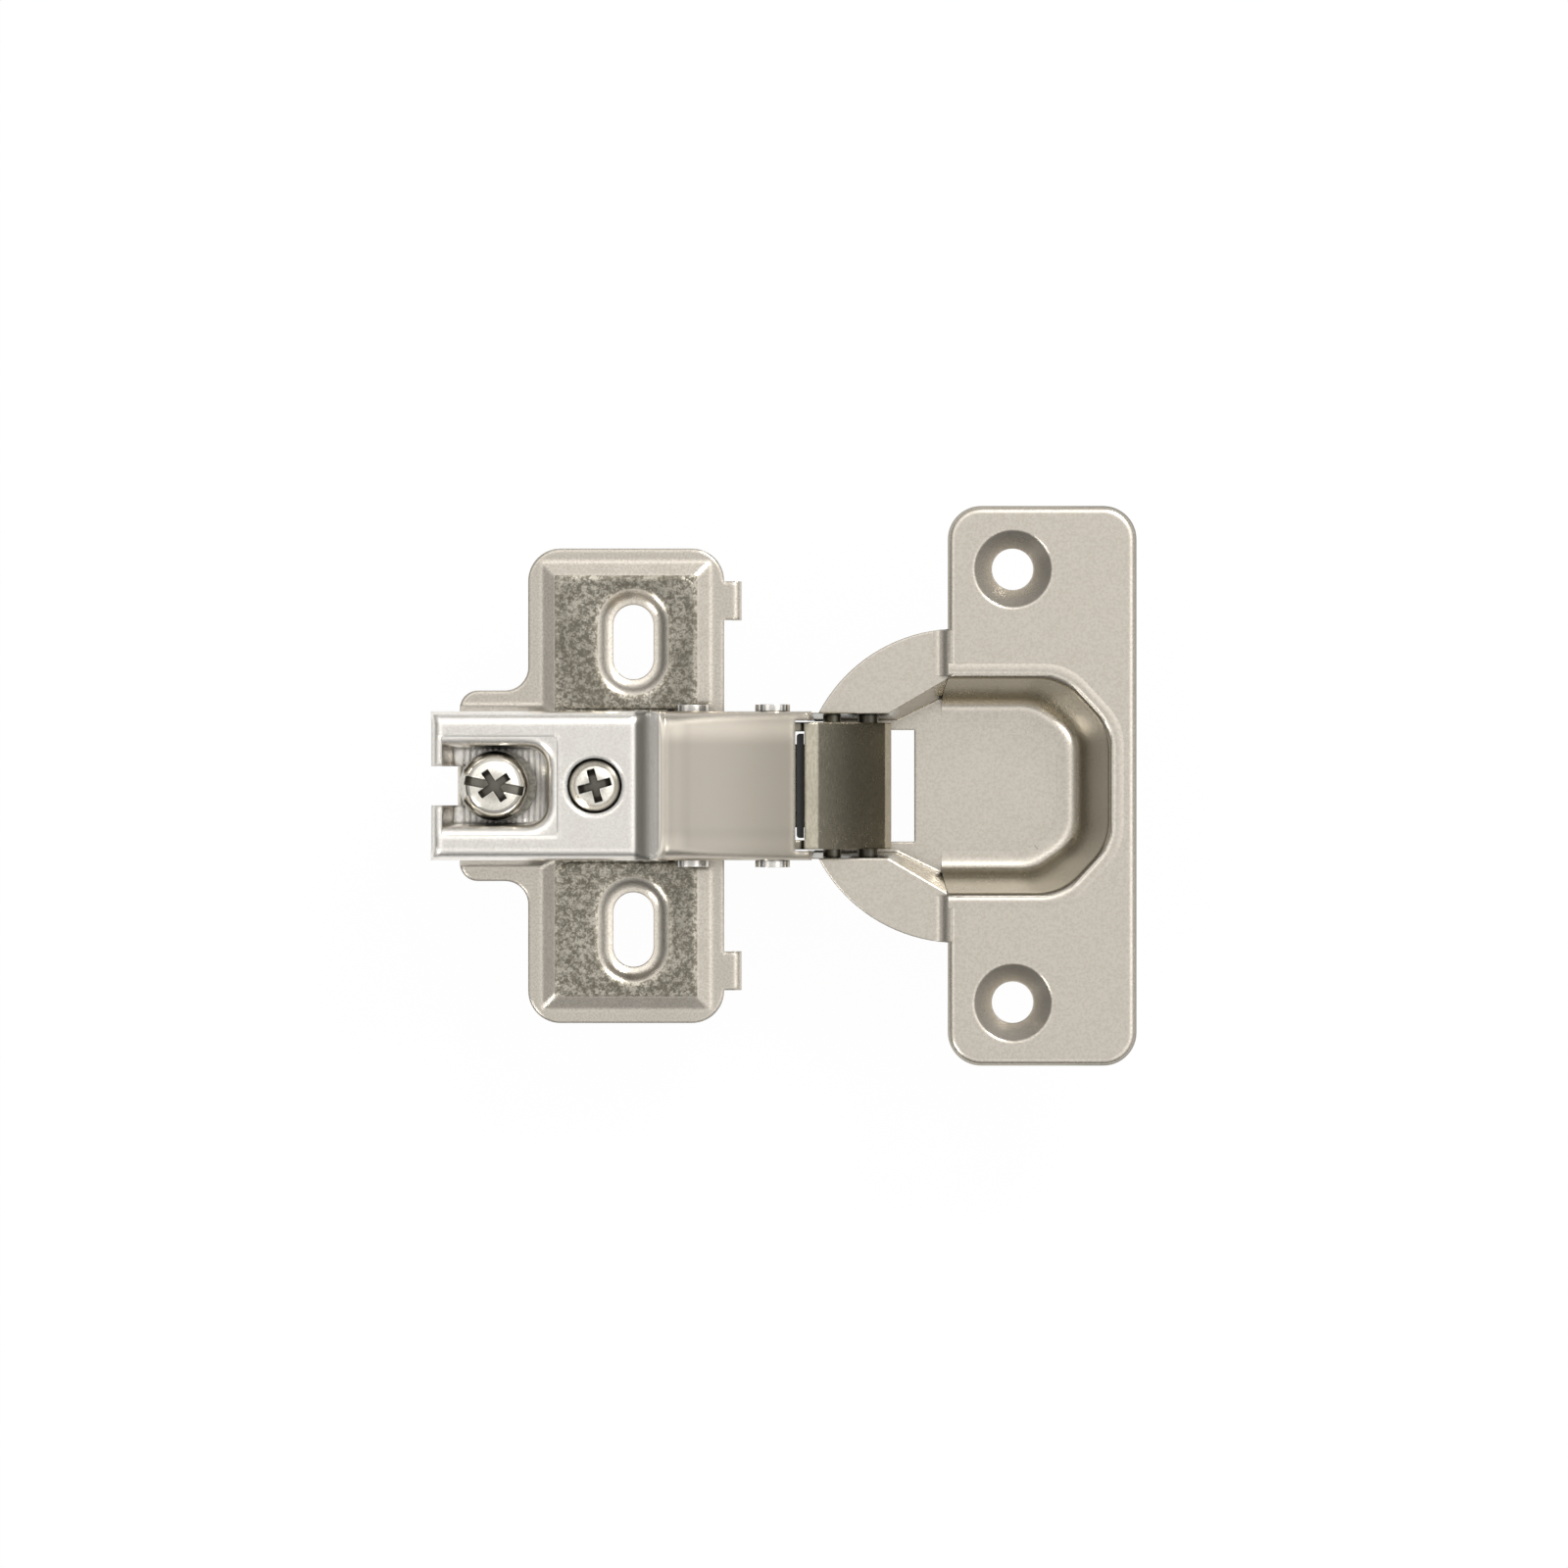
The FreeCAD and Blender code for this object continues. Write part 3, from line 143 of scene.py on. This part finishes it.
# inset from the pad's outline and height
PAD_EDGE = [(0.55, 2.235), (0.30, 2.23), (0.10, 2.19), (-0.08, 2.12), (-0.25, 1.98)]
PAD_REACH = 20.0  # further than any corner of a pad
HALVINGS = 40
ROUND_STEPS = 96
CORNER_STEPS = 8
MOUTH = ((34.95, 12.15), (47.7, 12.15), (53.0, 6.4))
TRAY_FLOOR = ((34.4, 9.8), (44.8, 9.8), (49.9, 6.3))
TRAY_PULL = ((0, 1), (0.4, 1), (1, 0.4))  # what a millimetre of inset moves each corner by
MOUTH_ROUND, FLOOR_ROUND = 6.5, 5.0
# share of the way from mouth to floor, inset and height of each line of the tray's skin
TRAY_PROFILE = [(0, -1.4, 6.345), (0, -1.1, 6.38), (0, -0.7, 6.43), (0, -0.3, 6.39),
                (0.01, 0.08, 6.12), (0.03, 0.22, 5.75), (0.08, 0.22, 5.2), (0.2, 0.10, 4.2),
                (0.4, 0.07, 2.1), (0.6, 0.07, 0.0), (0.78, 0.10, -1.9), (0.88, 0.20, -2.95),
                (0.94, 0.45, -3.6), (0.98, 0.85, -4.0), (1.0, 1.3, -4.17), (1.0, 1.9, -4.21),
                (1.0, 2.6, -4.225)]
POCKET_BACK, POCKET_FRONT, POCKET_SIDE = -20.85, -8.2, 5.4
POCKET_ROUND = 3.4
POCKET_TIGHTEN = 0.8  # what a millimetre of inset takes off the corner's radius
POCKET_SHARP = 0.05
# inset and height; the first line is outside the pocket and fills its sharp corners
POCKET_PROFILE = [(-0.03, 13.192), (0, 13.195), (0.25, 13.15), (0.5, 13.02), (0.75, 12.80),
                  (0.95, 12.50), (1.1, 12.0), (1.2, 10.5), (1.25, 9.35)]
STEP_PROFILE = [(33.3, 5.155), (33.7, 5.18), (34.1, 5.32), (34.6, 5.75), (35.1, 6.15),
                (35.6, 6.34), (36.1, 6.362), (36.6, 6.355)]
STEP_NEAR, STEP_FAR = 12.2, 17.2


# Node helpers
def link(tree, source, target):
    tree.links.new(source, target)


def new_node(tree, kind, **values):
    node = tree.nodes.new(kind)
    for name, value in values.items():
        if name in node.inputs:
            node.inputs[name].default_value = value
        else:
            setattr(node, name, value)
    return node


def math_node(tree, operation, first, second):
    node = new_node(tree, "ShaderNodeMath", operation=operation)
    for socket, value in zip(node.inputs, (first, second)):
        if isinstance(value, (int, float)):
            socket.default_value = value
        else:
            link(tree, value, socket)
    return node.outputs[0]


def total(tree, first, second):
    return math_node(tree, "ADD", first, second)


def product(tree, first, second):
    return math_node(tree, "MULTIPLY", first, second)


def rest_of(tree, share):
    return math_node(tree, "SUBTRACT", 1.0, share)


def size_of(tree, value):
    return math_node(tree, "ABSOLUTE", value, 0.0)


def mix_colour(tree, factor, first, second, blend="MIX"):
    node = new_node(tree, "ShaderNodeMix", data_type="RGBA", blend_type=blend)
    for index, value in zip(MIX_SOCKETS, (factor, first, second)):
        socket = node.inputs[index]
        if isinstance(value, (int, float)):
            socket.default_value = value
        elif isinstance(value, tuple):
            socket.default_value = (*value, 1)
        else:
            link(tree, value, socket)
    return node.outputs[2]


def noise(tree, place, scale, detail=3.0, roughness=0.6, stretch=None):
    """Noise by place on the object; scale is in spots to a millimetre."""
    vector = place
    if stretch:
        mapping = new_node(tree, "ShaderNodeMapping")
        mapping.inputs["Scale"].default_value = stretch
        link(tree, place, mapping.inputs["Vector"])
        vector = mapping.outputs["Vector"]
    node = new_node(tree, "ShaderNodeTexNoise", Scale=scale * MILLIMETRES, Detail=detail,
                    Roughness=roughness)
    link(tree, vector, node.inputs["Vector"])
    return node.outputs["Fac"]


def ramp(tree, factor, low, high):
    """0 below low, 1 above high, smooth between."""
    node = new_node(tree, "ShaderNodeMapRange", interpolation_type="SMOOTHSTEP")
    node.inputs["From Min"].default_value = low
    node.inputs["From Max"].default_value = high
    link(tree, factor, node.inputs["Value"])
    return node.outputs["Result"]


def band(tree, level, limits):
    """0 below, 1 between the two middle limits and 0 above."""
    rise = ramp(tree, level, limits[0], limits[1])
    return product(tree, rise, rest_of(tree, ramp(tree, level, limits[2], limits[3])))


def grey(tree, level):
    node = new_node(tree, "ShaderNodeCombineColor")
    for socket in node.inputs:
        link(tree, level, socket)
    return node.outputs[0]


def axes_of(tree, vector):
    node = new_node(tree, "ShaderNodeSeparateXYZ")
    link(tree, vector, node.inputs[0])
    return node.outputs


def steepness(tree):
    """0 on flats, 1 on upright walls, by the surface's own direction on the object."""
    normal = new_node(tree, "ShaderNodeTexCoord").outputs["Normal"]
    return rest_of(tree, size_of(tree, axes_of(tree, normal)[2]))


def off_axis(tree, place, axis):
    """Distance from an upright axis at the given place."""
    flat = new_node(tree, "ShaderNodeVectorMath", operation="SUBTRACT")
    link(tree, place, flat.inputs[0])
    flat.inputs[1].default_value = (*axis, 0)
    level = new_node(tree, "ShaderNodeVectorMath", operation="MULTIPLY")
    link(tree, flat.outputs[0], level.inputs[0])
    level.inputs[1].default_value = (1, 1, 0)
    length = new_node(tree, "ShaderNodeVectorMath", operation="LENGTH")
    link(tree, level.outputs[0], length.inputs[0])
    return length.outputs["Value"]


def new_material(name):
    material = bpy.data.materials.new(name)
    material.use_nodes = True
    return material, material.node_tree, material.node_tree.nodes["Principled BSDF"]


def bump_of(tree, height, distance, normal=None):
    bump = new_node(tree, "ShaderNodeBump", Strength=1.0, Distance=distance)
    link(tree, height, bump.inputs["Height"])
    if normal:
        link(tree, normal, bump.inputs["Normal"])
    return bump.outputs["Normal"]


# Materials
def nickel(name, colour, dark, roughness, grain=4.5, mottle=0.15, speckle=0.35,
           grain_depth=0.008, edge=0.3, painted_crevice_shade=0.6, stretch=None, special=None, relief=None):
    """Nickel plate: fine grain, faint mottle, shade painted into crevices, edges that catch
    the light.

    grain is in spots to a millimetre, grain_depth and edge are in millimetres.
    """
    material, tree, shader = new_material(name)
    shader.inputs["Metallic"].default_value = 1.0
    place = new_node(tree, "ShaderNodeTexCoord").outputs["Object"]
    fine = noise(tree, place, grain, detail=2.0, roughness=0.7, stretch=stretch)
    slow = noise(tree, place, SLOW_GRAIN, detail=4.0)
    spots = product(tree, ramp(tree, slow, *MOTTLE_RANGE), mottle)
    tint = mix_colour(tree, spots, colour, dark)
    spots = product(tree, ramp(tree, fine, *SPECKLE_RANGE), speckle)
    tint = mix_colour(tree, spots, tint, dark)
    if special:
        tint = special(tree, place, tint)
    # painted shade: the colour darkens where ambient occlusion finds a crevice or a gap
    # between parts
    crevice_occlusion = new_node(tree, "ShaderNodeAmbientOcclusion", samples=SHADER_SAMPLES)
    crevice_occlusion.inputs["Distance"].default_value = PAINTED_SHADE_REACH
    open_share = ramp(tree, crevice_occlusion.outputs["AO"], *PAINTED_SHADE_RANGE)
    shade = total(tree, 1.0 - painted_crevice_shade, product(tree, open_share, painted_crevice_shade))
    tint = mix_colour(tree, 1.0, tint, grey(tree, shade), "MULTIPLY")
    link(tree, tint, shader.inputs["Base Color"])
    rough = total(tree, roughness - ROUGHNESS_DROP, product(tree, slow, ROUGHNESS_SPREAD))
    rough = total(tree, rough, product(tree, fine, ROUGHNESS_SPREAD))
    link(tree, rough, shader.inputs["Roughness"])
    bevel = new_node(tree, "ShaderNodeBevel", samples=SHADER_SAMPLES)
    bevel.inputs["Radius"].default_value = edge / MILLIMETRES
    normal = bevel.outputs["Normal"]
    if relief:
        normal = bump_of(tree, relief(tree, place), 1.0, normal)
    normal = bump_of(tree, fine, grain_depth / MILLIMETRES, normal)
    link(tree, normal, shader.inputs["Normal"])
    return material


def plate_finish(tree, place, tint):
    """The pads' coarse mottle between their smooth rims."""
    mask = band(tree, axes_of(tree, place)[2], PAD_BAND)
    coarse = noise(tree, place, PAD_GRAIN, roughness=0.8)
    coarse = ramp(tree, coarse, *PAD_GRAIN_RANGE)
    patches = noise(tree, place, PAD_PATCH, detail=2.0, roughness=0.5)
    patches = ramp(tree, patches, *PAD_PATCH_RANGE)
    pad = mix_colour(tree, product(tree, coarse, PAD_GRAIN_SHARE), PAD_LIGHT, PAD_DARK)
    pad = mix_colour(tree, product(tree, patches, PAD_PATCH_SHARE), pad, PAD_DARK)
    return mix_colour(tree, mask, tint, pad)


def arm_plating_and_shade(tree, place, tint):
    """The front boss is darker than the rear one, partly a duller plating and partly painted
    shade from the tilt of its top, and painted shade darkens the groove between them.
    """
    along = axes_of(tree, place)[0]
    # duller plating and painted shade on the front boss
    tint = mix_colour(tree, ramp(tree, along, *BOSS_SHADE_START), tint, BOSS_PLATING_AND_SHADE)
    tint = mix_colour(tree, ramp(tree, along, *BOSS_SHADE_NOSE), tint, FRONT_BOSS_PLATING_AND_SHADE)
    # painted shade in the groove between the bosses
    groove = band(tree, along, GROOVE_SHADE_BAND)
    return mix_colour(tree, product(tree, groove, GROOVE_SHADE_SHARE), tint, GROOVE_SHADE)


def boss_relief(tree, place):
    """The front boss of the arm falls off softly towards its sides and its rear."""
    along, across = axes_of(tree, place)[0:2]
    sides = ramp(tree, size_of(tree, across), *BOSS_SIDES)
    rear = rest_of(tree, ramp(tree, along, *BOSS_REAR))
    fall = product(tree, total(tree, sides, rear), -BOSS_FALL)
    return product(tree, fall, ramp(tree, along, *BOSS_EDGE))


def cup_wall_shade(tree, place, tint):
    """The drawn walls of the tray get painted shade, darker than the wing, most of all the
    front one.
    """
    # painted shade on the steep faces of the tray
    walls = product(tree, ramp(tree, steepness(tree), *WALL_SHADE_STEEPNESS), WALL_SHADE_SHARE)
    front = ramp(tree, axes_of(tree, place)[0], *FRONT_WALL_SHADE_PLACE)
    return mix_colour(tree, walls, tint, mix_colour(tree, front, WALL_SHADE, FRONT_WALL_SHADE))


def dome(axis, slope):
    """A screw head that falls off towards its rim."""
    def relief(tree, place):
        radius = off_axis(tree, place, axis)
        return product(tree, product(tree, radius, radius), -slope)
    return relief


def recess_shade(axis, top, reach):
    """Painted shade darkens the screw's recess inside, below the top of its head."""
    def finish(tree, place, tint):
        outside = ramp(tree, off_axis(tree, place, axis), reach - RECESS_SHADE_EDGE, reach)
        height = axes_of(tree, place)[2]
        high = ramp(tree, height, top - RECESS_SHADE_DEEP, top - RECESS_SHADE_SHALLOW)
        mask = product(tree, rest_of(tree, outside), rest_of(tree, high))
        return mix_colour(tree, product(tree, mask, RECESS_SHADE_SHARE), tint, RECESS_SHADE)
    return finish


def nylon(name):
    """Black plastic with a faint grain."""
    material, tree, shader = new_material(name)
    place = new_node(tree, "ShaderNodeTexCoord").outputs["Object"]
    fine = noise(tree, place, NYLON_GRAIN)
    tint = mix_colour(tree, fine, NYLON_DARK, NYLON_LIGHT)
    link(tree, tint, shader.inputs["Base Color"])
    rough = total(tree, NYLON_ROUGHNESS, product(tree, fine, NYLON_SPREAD))
    link(tree, rough, shader.inputs["Roughness"])
    link(tree, bump_of(tree, fine, NYLON_DEPTH), shader.inputs["Normal"])
    return material


plate_metal = nickel("plate_nickel", WARM, SHADE, roughness=0.20, grain=4.2, speckle=0.4,
                     grain_depth=0.010, edge=0.7, special=plate_finish)
arm_metal = nickel("arm_nickel", BRIGHT, WARM, roughness=0.19, speckle=0.3,
                   grain_depth=0.006, edge=1.0, special=arm_plating_and_shade, relief=boss_relief)
cup_metal = nickel("cup_satin", WARM, SHADE, roughness=0.24, grain=3.2, speckle=0.36,
                   mottle=0.1, edge=0.4, special=cup_wall_shade)
# the cup's pins get painted shade, darker than their nickel
shaded_pin_metal = nickel("shaded_pin", PIN_SHADE, OLIVE, roughness=0.3, edge=0.2)
# the links' own tone, darkened with painted shade from the dark their curved faces reflect
link_metal = nickel("link_nickel", LINK_TONE_AND_SHADE, OLIVE, roughness=0.26, speckle=0.5,
                    stretch=(1, 0.35, 1), edge=0.4)
# the turned pieces get stronger painted shade in their crevices
turned = nickel("turned_nickel", BRIGHT, SHADE, roughness=0.15, speckle=0.25,
                grain_depth=0.004, edge=0.12, painted_crevice_shade=0.85)
clamp_head = nickel("clamp_head_nickel", HEAD, SHADE, roughness=0.14, speckle=0.25,
                    grain_depth=0.004, edge=0.15, relief=dome(CLAMP_AXIS, CLAMP_DOME),
                    special=recess_shade(CLAMP_AXIS, CLAMP_TOP, CLAMP_RECESS))
overlay_head = nickel("overlay_head_nickel", HEAD, SHADE, roughness=0.14, speckle=0.25,
                      grain_depth=0.004, edge=0.15, relief=dome(OVERLAY_AXIS, OVERLAY_DOME),
                      special=recess_shade(OVERLAY_AXIS, OVERLAY_TOP, OVERLAY_RECESS))
knurled = nickel("knurled_washer", KNURL, KNURL_DARK, roughness=0.30, grain=2.5,
                 speckle=0.7, grain_depth=0.03, edge=0.15)
wire_metal = nickel("spring_wire", WIRE, WIRE_DARK, roughness=0.30, grain=3.0, edge=0.1)
shoe_nylon = nylon("shoe_nylon")

FINISHES = {
    "mounting_plate": plate_metal, "arm": arm_metal, "cup": cup_metal,
    "outer_link": link_metal, "inner_link": link_metal,
    "clamp_screw": clamp_head, "overlay_screw": overlay_head, "clamp_nut": turned,
    "front_rivet": turned, "rear_rivet": turned, "inner_cup_pin": shaded_pin_metal,
    "outer_cup_pin_left": shaded_pin_metal, "outer_cup_pin_right": shaded_pin_metal,
    "clamp_washer": knurled, "closing_spring": wire_metal, "spring_shoe": shoe_nylon,
}
for name, material in FINISHES.items():
    for slot in nodes[name].material_slots:
        slot.material = material


# Skins that soften the bends of the solids
def build_skin(name, rows, material, body):
    """A smooth sheet through rows of points in millimetres, riding on a body."""
    width = len(rows[0])
    points = [[length / MILLIMETRES for length in point] for row in rows for point in row]
    faces = []
    for row in range(len(rows) - 1):
        for step in range(width - 1):
            start = row * width + step
            faces.append((start, start + width, start + width + 1, start + 1))
    mesh = bpy.data.meshes.new(name)
    mesh.from_pydata(points, [], faces)
    mesh.polygons.foreach_set("use_smooth", [True] * len(faces))
    mesh.materials.append(material)
    skin = bpy.data.objects.new(name, mesh)
    bpy.context.scene.collection.objects.link(skin)
    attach(skin, body)


def stadium_point(angle, radius):
    run = SLOT_RUN if math.sin(angle) > 0 else -SLOT_RUN
    return radius * math.cos(angle), run + radius * math.sin(angle)


def pad_edge_point(angle, inset, flip):
    """Where a ray from the slot's middle meets the pad's rounded outline."""
    back, front = PAD_BACK + inset, PAD_FRONT - inset
    near, far = PAD_NEAR + inset, PAD_FAR - inset
    if flip:
        near, far = -far, -near
    corner = PAD_CORNER - inset
    x, y = stadium_point(angle, DISH_PROFILE[-1][0])
    length = math.hypot(x, y)
    x, y = x / length, y / length
    low, high = 0.0, PAD_REACH
    for _ in range(HALVINGS):
        reach = (low + high) / 2
        gap_x = max(back + corner - reach * x, 0, reach * x - front + corner)
        gap_y = max(near + corner - reach * y, 0, reach * y - far + corner)
        if math.hypot(gap_x, gap_y) > corner:
            high = reach
        else:
            low = reach
    return low * x, low * y


def build_pad(name, side):
    """The soft dish round a slot, out to the pad's edge; side is 1 or -1."""
    angles = [(step + 0.5) * math.tau / ROUND_STEPS for step in range(ROUND_STEPS)]
    rings = []
    for radius, height in DISH_PROFILE:
        rings.append([(*stadium_point(angle, radius), height) for angle in angles])
    for inset, height in PAD_EDGE:
        rings.append([(*pad_edge_point(angle, inset, side < 0), height) for angle in angles])
    moved = [[(x, y + side * SLOT_PLACE, z) for x, y, z in ring + ring[:1]] for ring in rings]
    build_skin(name, moved, plate_metal, "plate")


def direction(start, end):
    length = math.dist(start, end)
    return [(b - a) / length for a, b in zip(start, end)]


def round_corner(before, corner, after, radius):
    """Points on a soft curve that rounds a corner, as long as an arc of the radius."""
    first, second = direction(corner, before), direction(corner, after)
    cosine = sum(a * b for a, b in zip(first, second))
    opening = math.acos(max(-1.0, min(1.0, cosine)))
    back_off = radius / math.tan(opening / 2)
    start = [c + way * back_off for c, way in zip(corner, first)]
    end = [c + way * back_off for c, way in zip(corner, second)]
    points = []
    for step in range(CORNER_STEPS + 1):
        share = step / CORNER_STEPS
        points.append(tuple((1 - share) ** 2 * a + 2 * share * (1 - share) * c + share ** 2 * b
                            for a, c, b in zip(start, corner, end)))
    return points


def mirrored(half, height):
    """A line at one height, from its half on the +Y side."""
    whole = half + [(x, -y) for x, y in reversed(half)]
    return [(x, y, height) for x, y in whole]


def tray_line(share, inset, height):
    corners = []
    for mouth, low, pull in zip(MOUTH, TRAY_FLOOR, TRAY_PULL):
        corners.append([m + share * (f - m) - p * inset for m, f, p in zip(mouth, low, pull)])
    start, side, nose = corners
    radius = MOUTH_ROUND + share * (FLOOR_ROUND - MOUTH_ROUND)
    half = [start]
    half += round_corner(start, side, nose, radius)
    half += round_corner(side, nose, (nose[0], 0.0), radius)
    return mirrored(half, height)


def pocket_line(inset, height):
    front, side = POCKET_FRONT - inset, POCKET_SIDE - inset
    rear = (POCKET_BACK, side)
    radius = POCKET_ROUND - POCKET_TIGHTEN * inset if inset >= 0 else POCKET_SHARP
    return mirrored([rear] + round_corner(rear, (front, side), (front, 0.0), radius), height)


def build_tray():
    """Rounded corners, a lip at the mouth and a soft foot."""
    rows = [tray_line(*line) for line in TRAY_PROFILE]
    build_skin("tray_skin", rows, cup_metal, "cup")


def build_pocket():
    """A rolled lip with rounded corners."""
    rows = [pocket_line(*line) for line in POCKET_PROFILE]
    build_skin("pocket_skin", rows, arm_metal, "arm")


def build_step(name, side):
    """The slope between the wing and the sunk rim of the cup; side is 1 or -1."""
    rows = [[(x, side * y, z) for y in (STEP_NEAR, STEP_FAR)] for x, z in STEP_PROFILE]
    build_skin(name, rows, cup_metal, "cup")


# Floor, light and camera
def build_floor():
    mesh = bpy.data.meshes.new("floor")
    corners = [(-FLOOR_HALF, -FLOOR_HALF), (FLOOR_HALF, -FLOOR_HALF),
               (FLOOR_HALF, FLOOR_HALF), (-FLOOR_HALF, FLOOR_HALF)]
    mesh.from_pydata([(x, y, FLOOR_Z) for x, y in corners], [], [(0, 1, 2, 3)])
    floor = bpy.data.objects.new("floor", mesh)
    bpy.context.scene.collection.objects.link(floor)
    material, tree, shader = new_material("floor_white")
    shader.inputs["Base Color"].default_value = (FLOOR_GREY, FLOOR_GREY, FLOOR_GREY, 1)
    shader.inputs["Roughness"].default_value = FLOOR_ROUGHNESS
    shader.inputs["Specular IOR Level"].default_value = 0.0
    rays = new_node(tree, "ShaderNodeLightPath").outputs
    seen = math_node(tree, "MAXIMUM", rays["Is Camera Ray"], rays["Is Glossy Ray"])
    seen = math_node(tree, "MAXIMUM", seen, rays["Is Transmission Ray"])
    glow = new_node(tree, "ShaderNodeEmission", Strength=1.0)
    both = new_node(tree, "ShaderNodeMixShader")
    link(tree, product(tree, seen, FLOOR_GLOW), both.inputs[0])
    link(tree, shader.outputs[0], both.inputs[1])
    link(tree, glow.outputs[0], both.inputs[2])
    link(tree, both.outputs[0], tree.nodes["Material Output"].inputs["Surface"])
    mesh.materials.append(material)


def build_world():
    """A soft studio, brighter in bands, so that bends show light and dark lines."""
    world = bpy.data.worlds.new("studio")
    bpy.context.scene.world = world
    world.use_nodes = True
    tree = world.node_tree
    background = tree.nodes["Background"]
    x, y, z = axes_of(tree, new_node(tree, "ShaderNodeTexCoord").outputs["Generated"])
    bands = new_node(tree, "ShaderNodeValToRGB")
    link(tree, total(tree, 0.5, product(tree, z, 0.5)), bands.inputs["Fac"])
    elements = bands.color_ramp.elements
    for index, (place, level) in enumerate(SKY_BANDS):
        element = elements[index] if index < 2 else elements.new(place)
        element.position = place
        element.color = (level, level, level, 1)
    slant = total(tree, product(tree, x, SKY_SLANT[0]), product(tree, y, SKY_SLANT[1]))
    lit = mix_colour(tree, ramp(tree, slant, *SKY_SIDES), SKY_DIM, SKY_BRIGHT)
    sky = mix_colour(tree, 1.0, bands.outputs["Color"], lit, "MULTIPLY")
    link(tree, sky, background.inputs["Color"])
    background.inputs["Strength"].default_value = 1.0


def add_lamp(name, place, size, power):
    """A rectangular lamp that faces the origin."""
    lamp = bpy.data.lights.new(name, "AREA")
    lamp.shape = "RECTANGLE"
    lamp.size, lamp.size_y = size
    lamp.energy = power
    lamp_object = bpy.data.objects.new(name, lamp)
    lamp_object.location = place
    lamp_object.rotation_euler = (-Vector(place)).to_track_quat("-Z", "Y").to_euler()
    bpy.context.scene.collection.objects.link(lamp_object)


def build_camera():
    camera = bpy.data.cameras.new("camera")
    camera.sensor_width = SENSOR
    camera.lens = SENSOR * (CAMERA_HEIGHT - WING_Z) / PICTURE_WIDTH
    camera.clip_start = CLIP_START
    camera.clip_end = CLIP_END
    camera_object = bpy.data.objects.new("camera", camera)
    camera_object.location = (CAMERA_X, CAMERA_Y, CAMERA_HEIGHT)
    bpy.context.scene.collection.objects.link(camera_object)
    bpy.context.scene.camera = camera_object


build_pad("pad_skin_left", 1)
build_pad("pad_skin_right", -1)
build_tray()
build_pocket()
build_step("step_skin_left", 1)
build_step("step_skin_right", -1)
build_floor()
build_world()
add_lamp("key", KEY_PLACE, KEY_SIZE, KEY_POWER)
add_lamp("fill", FILL_PLACE, FILL_SIZE, FILL_POWER)
build_camera()
bpy.context.scene.view_settings.view_transform = "Standard"
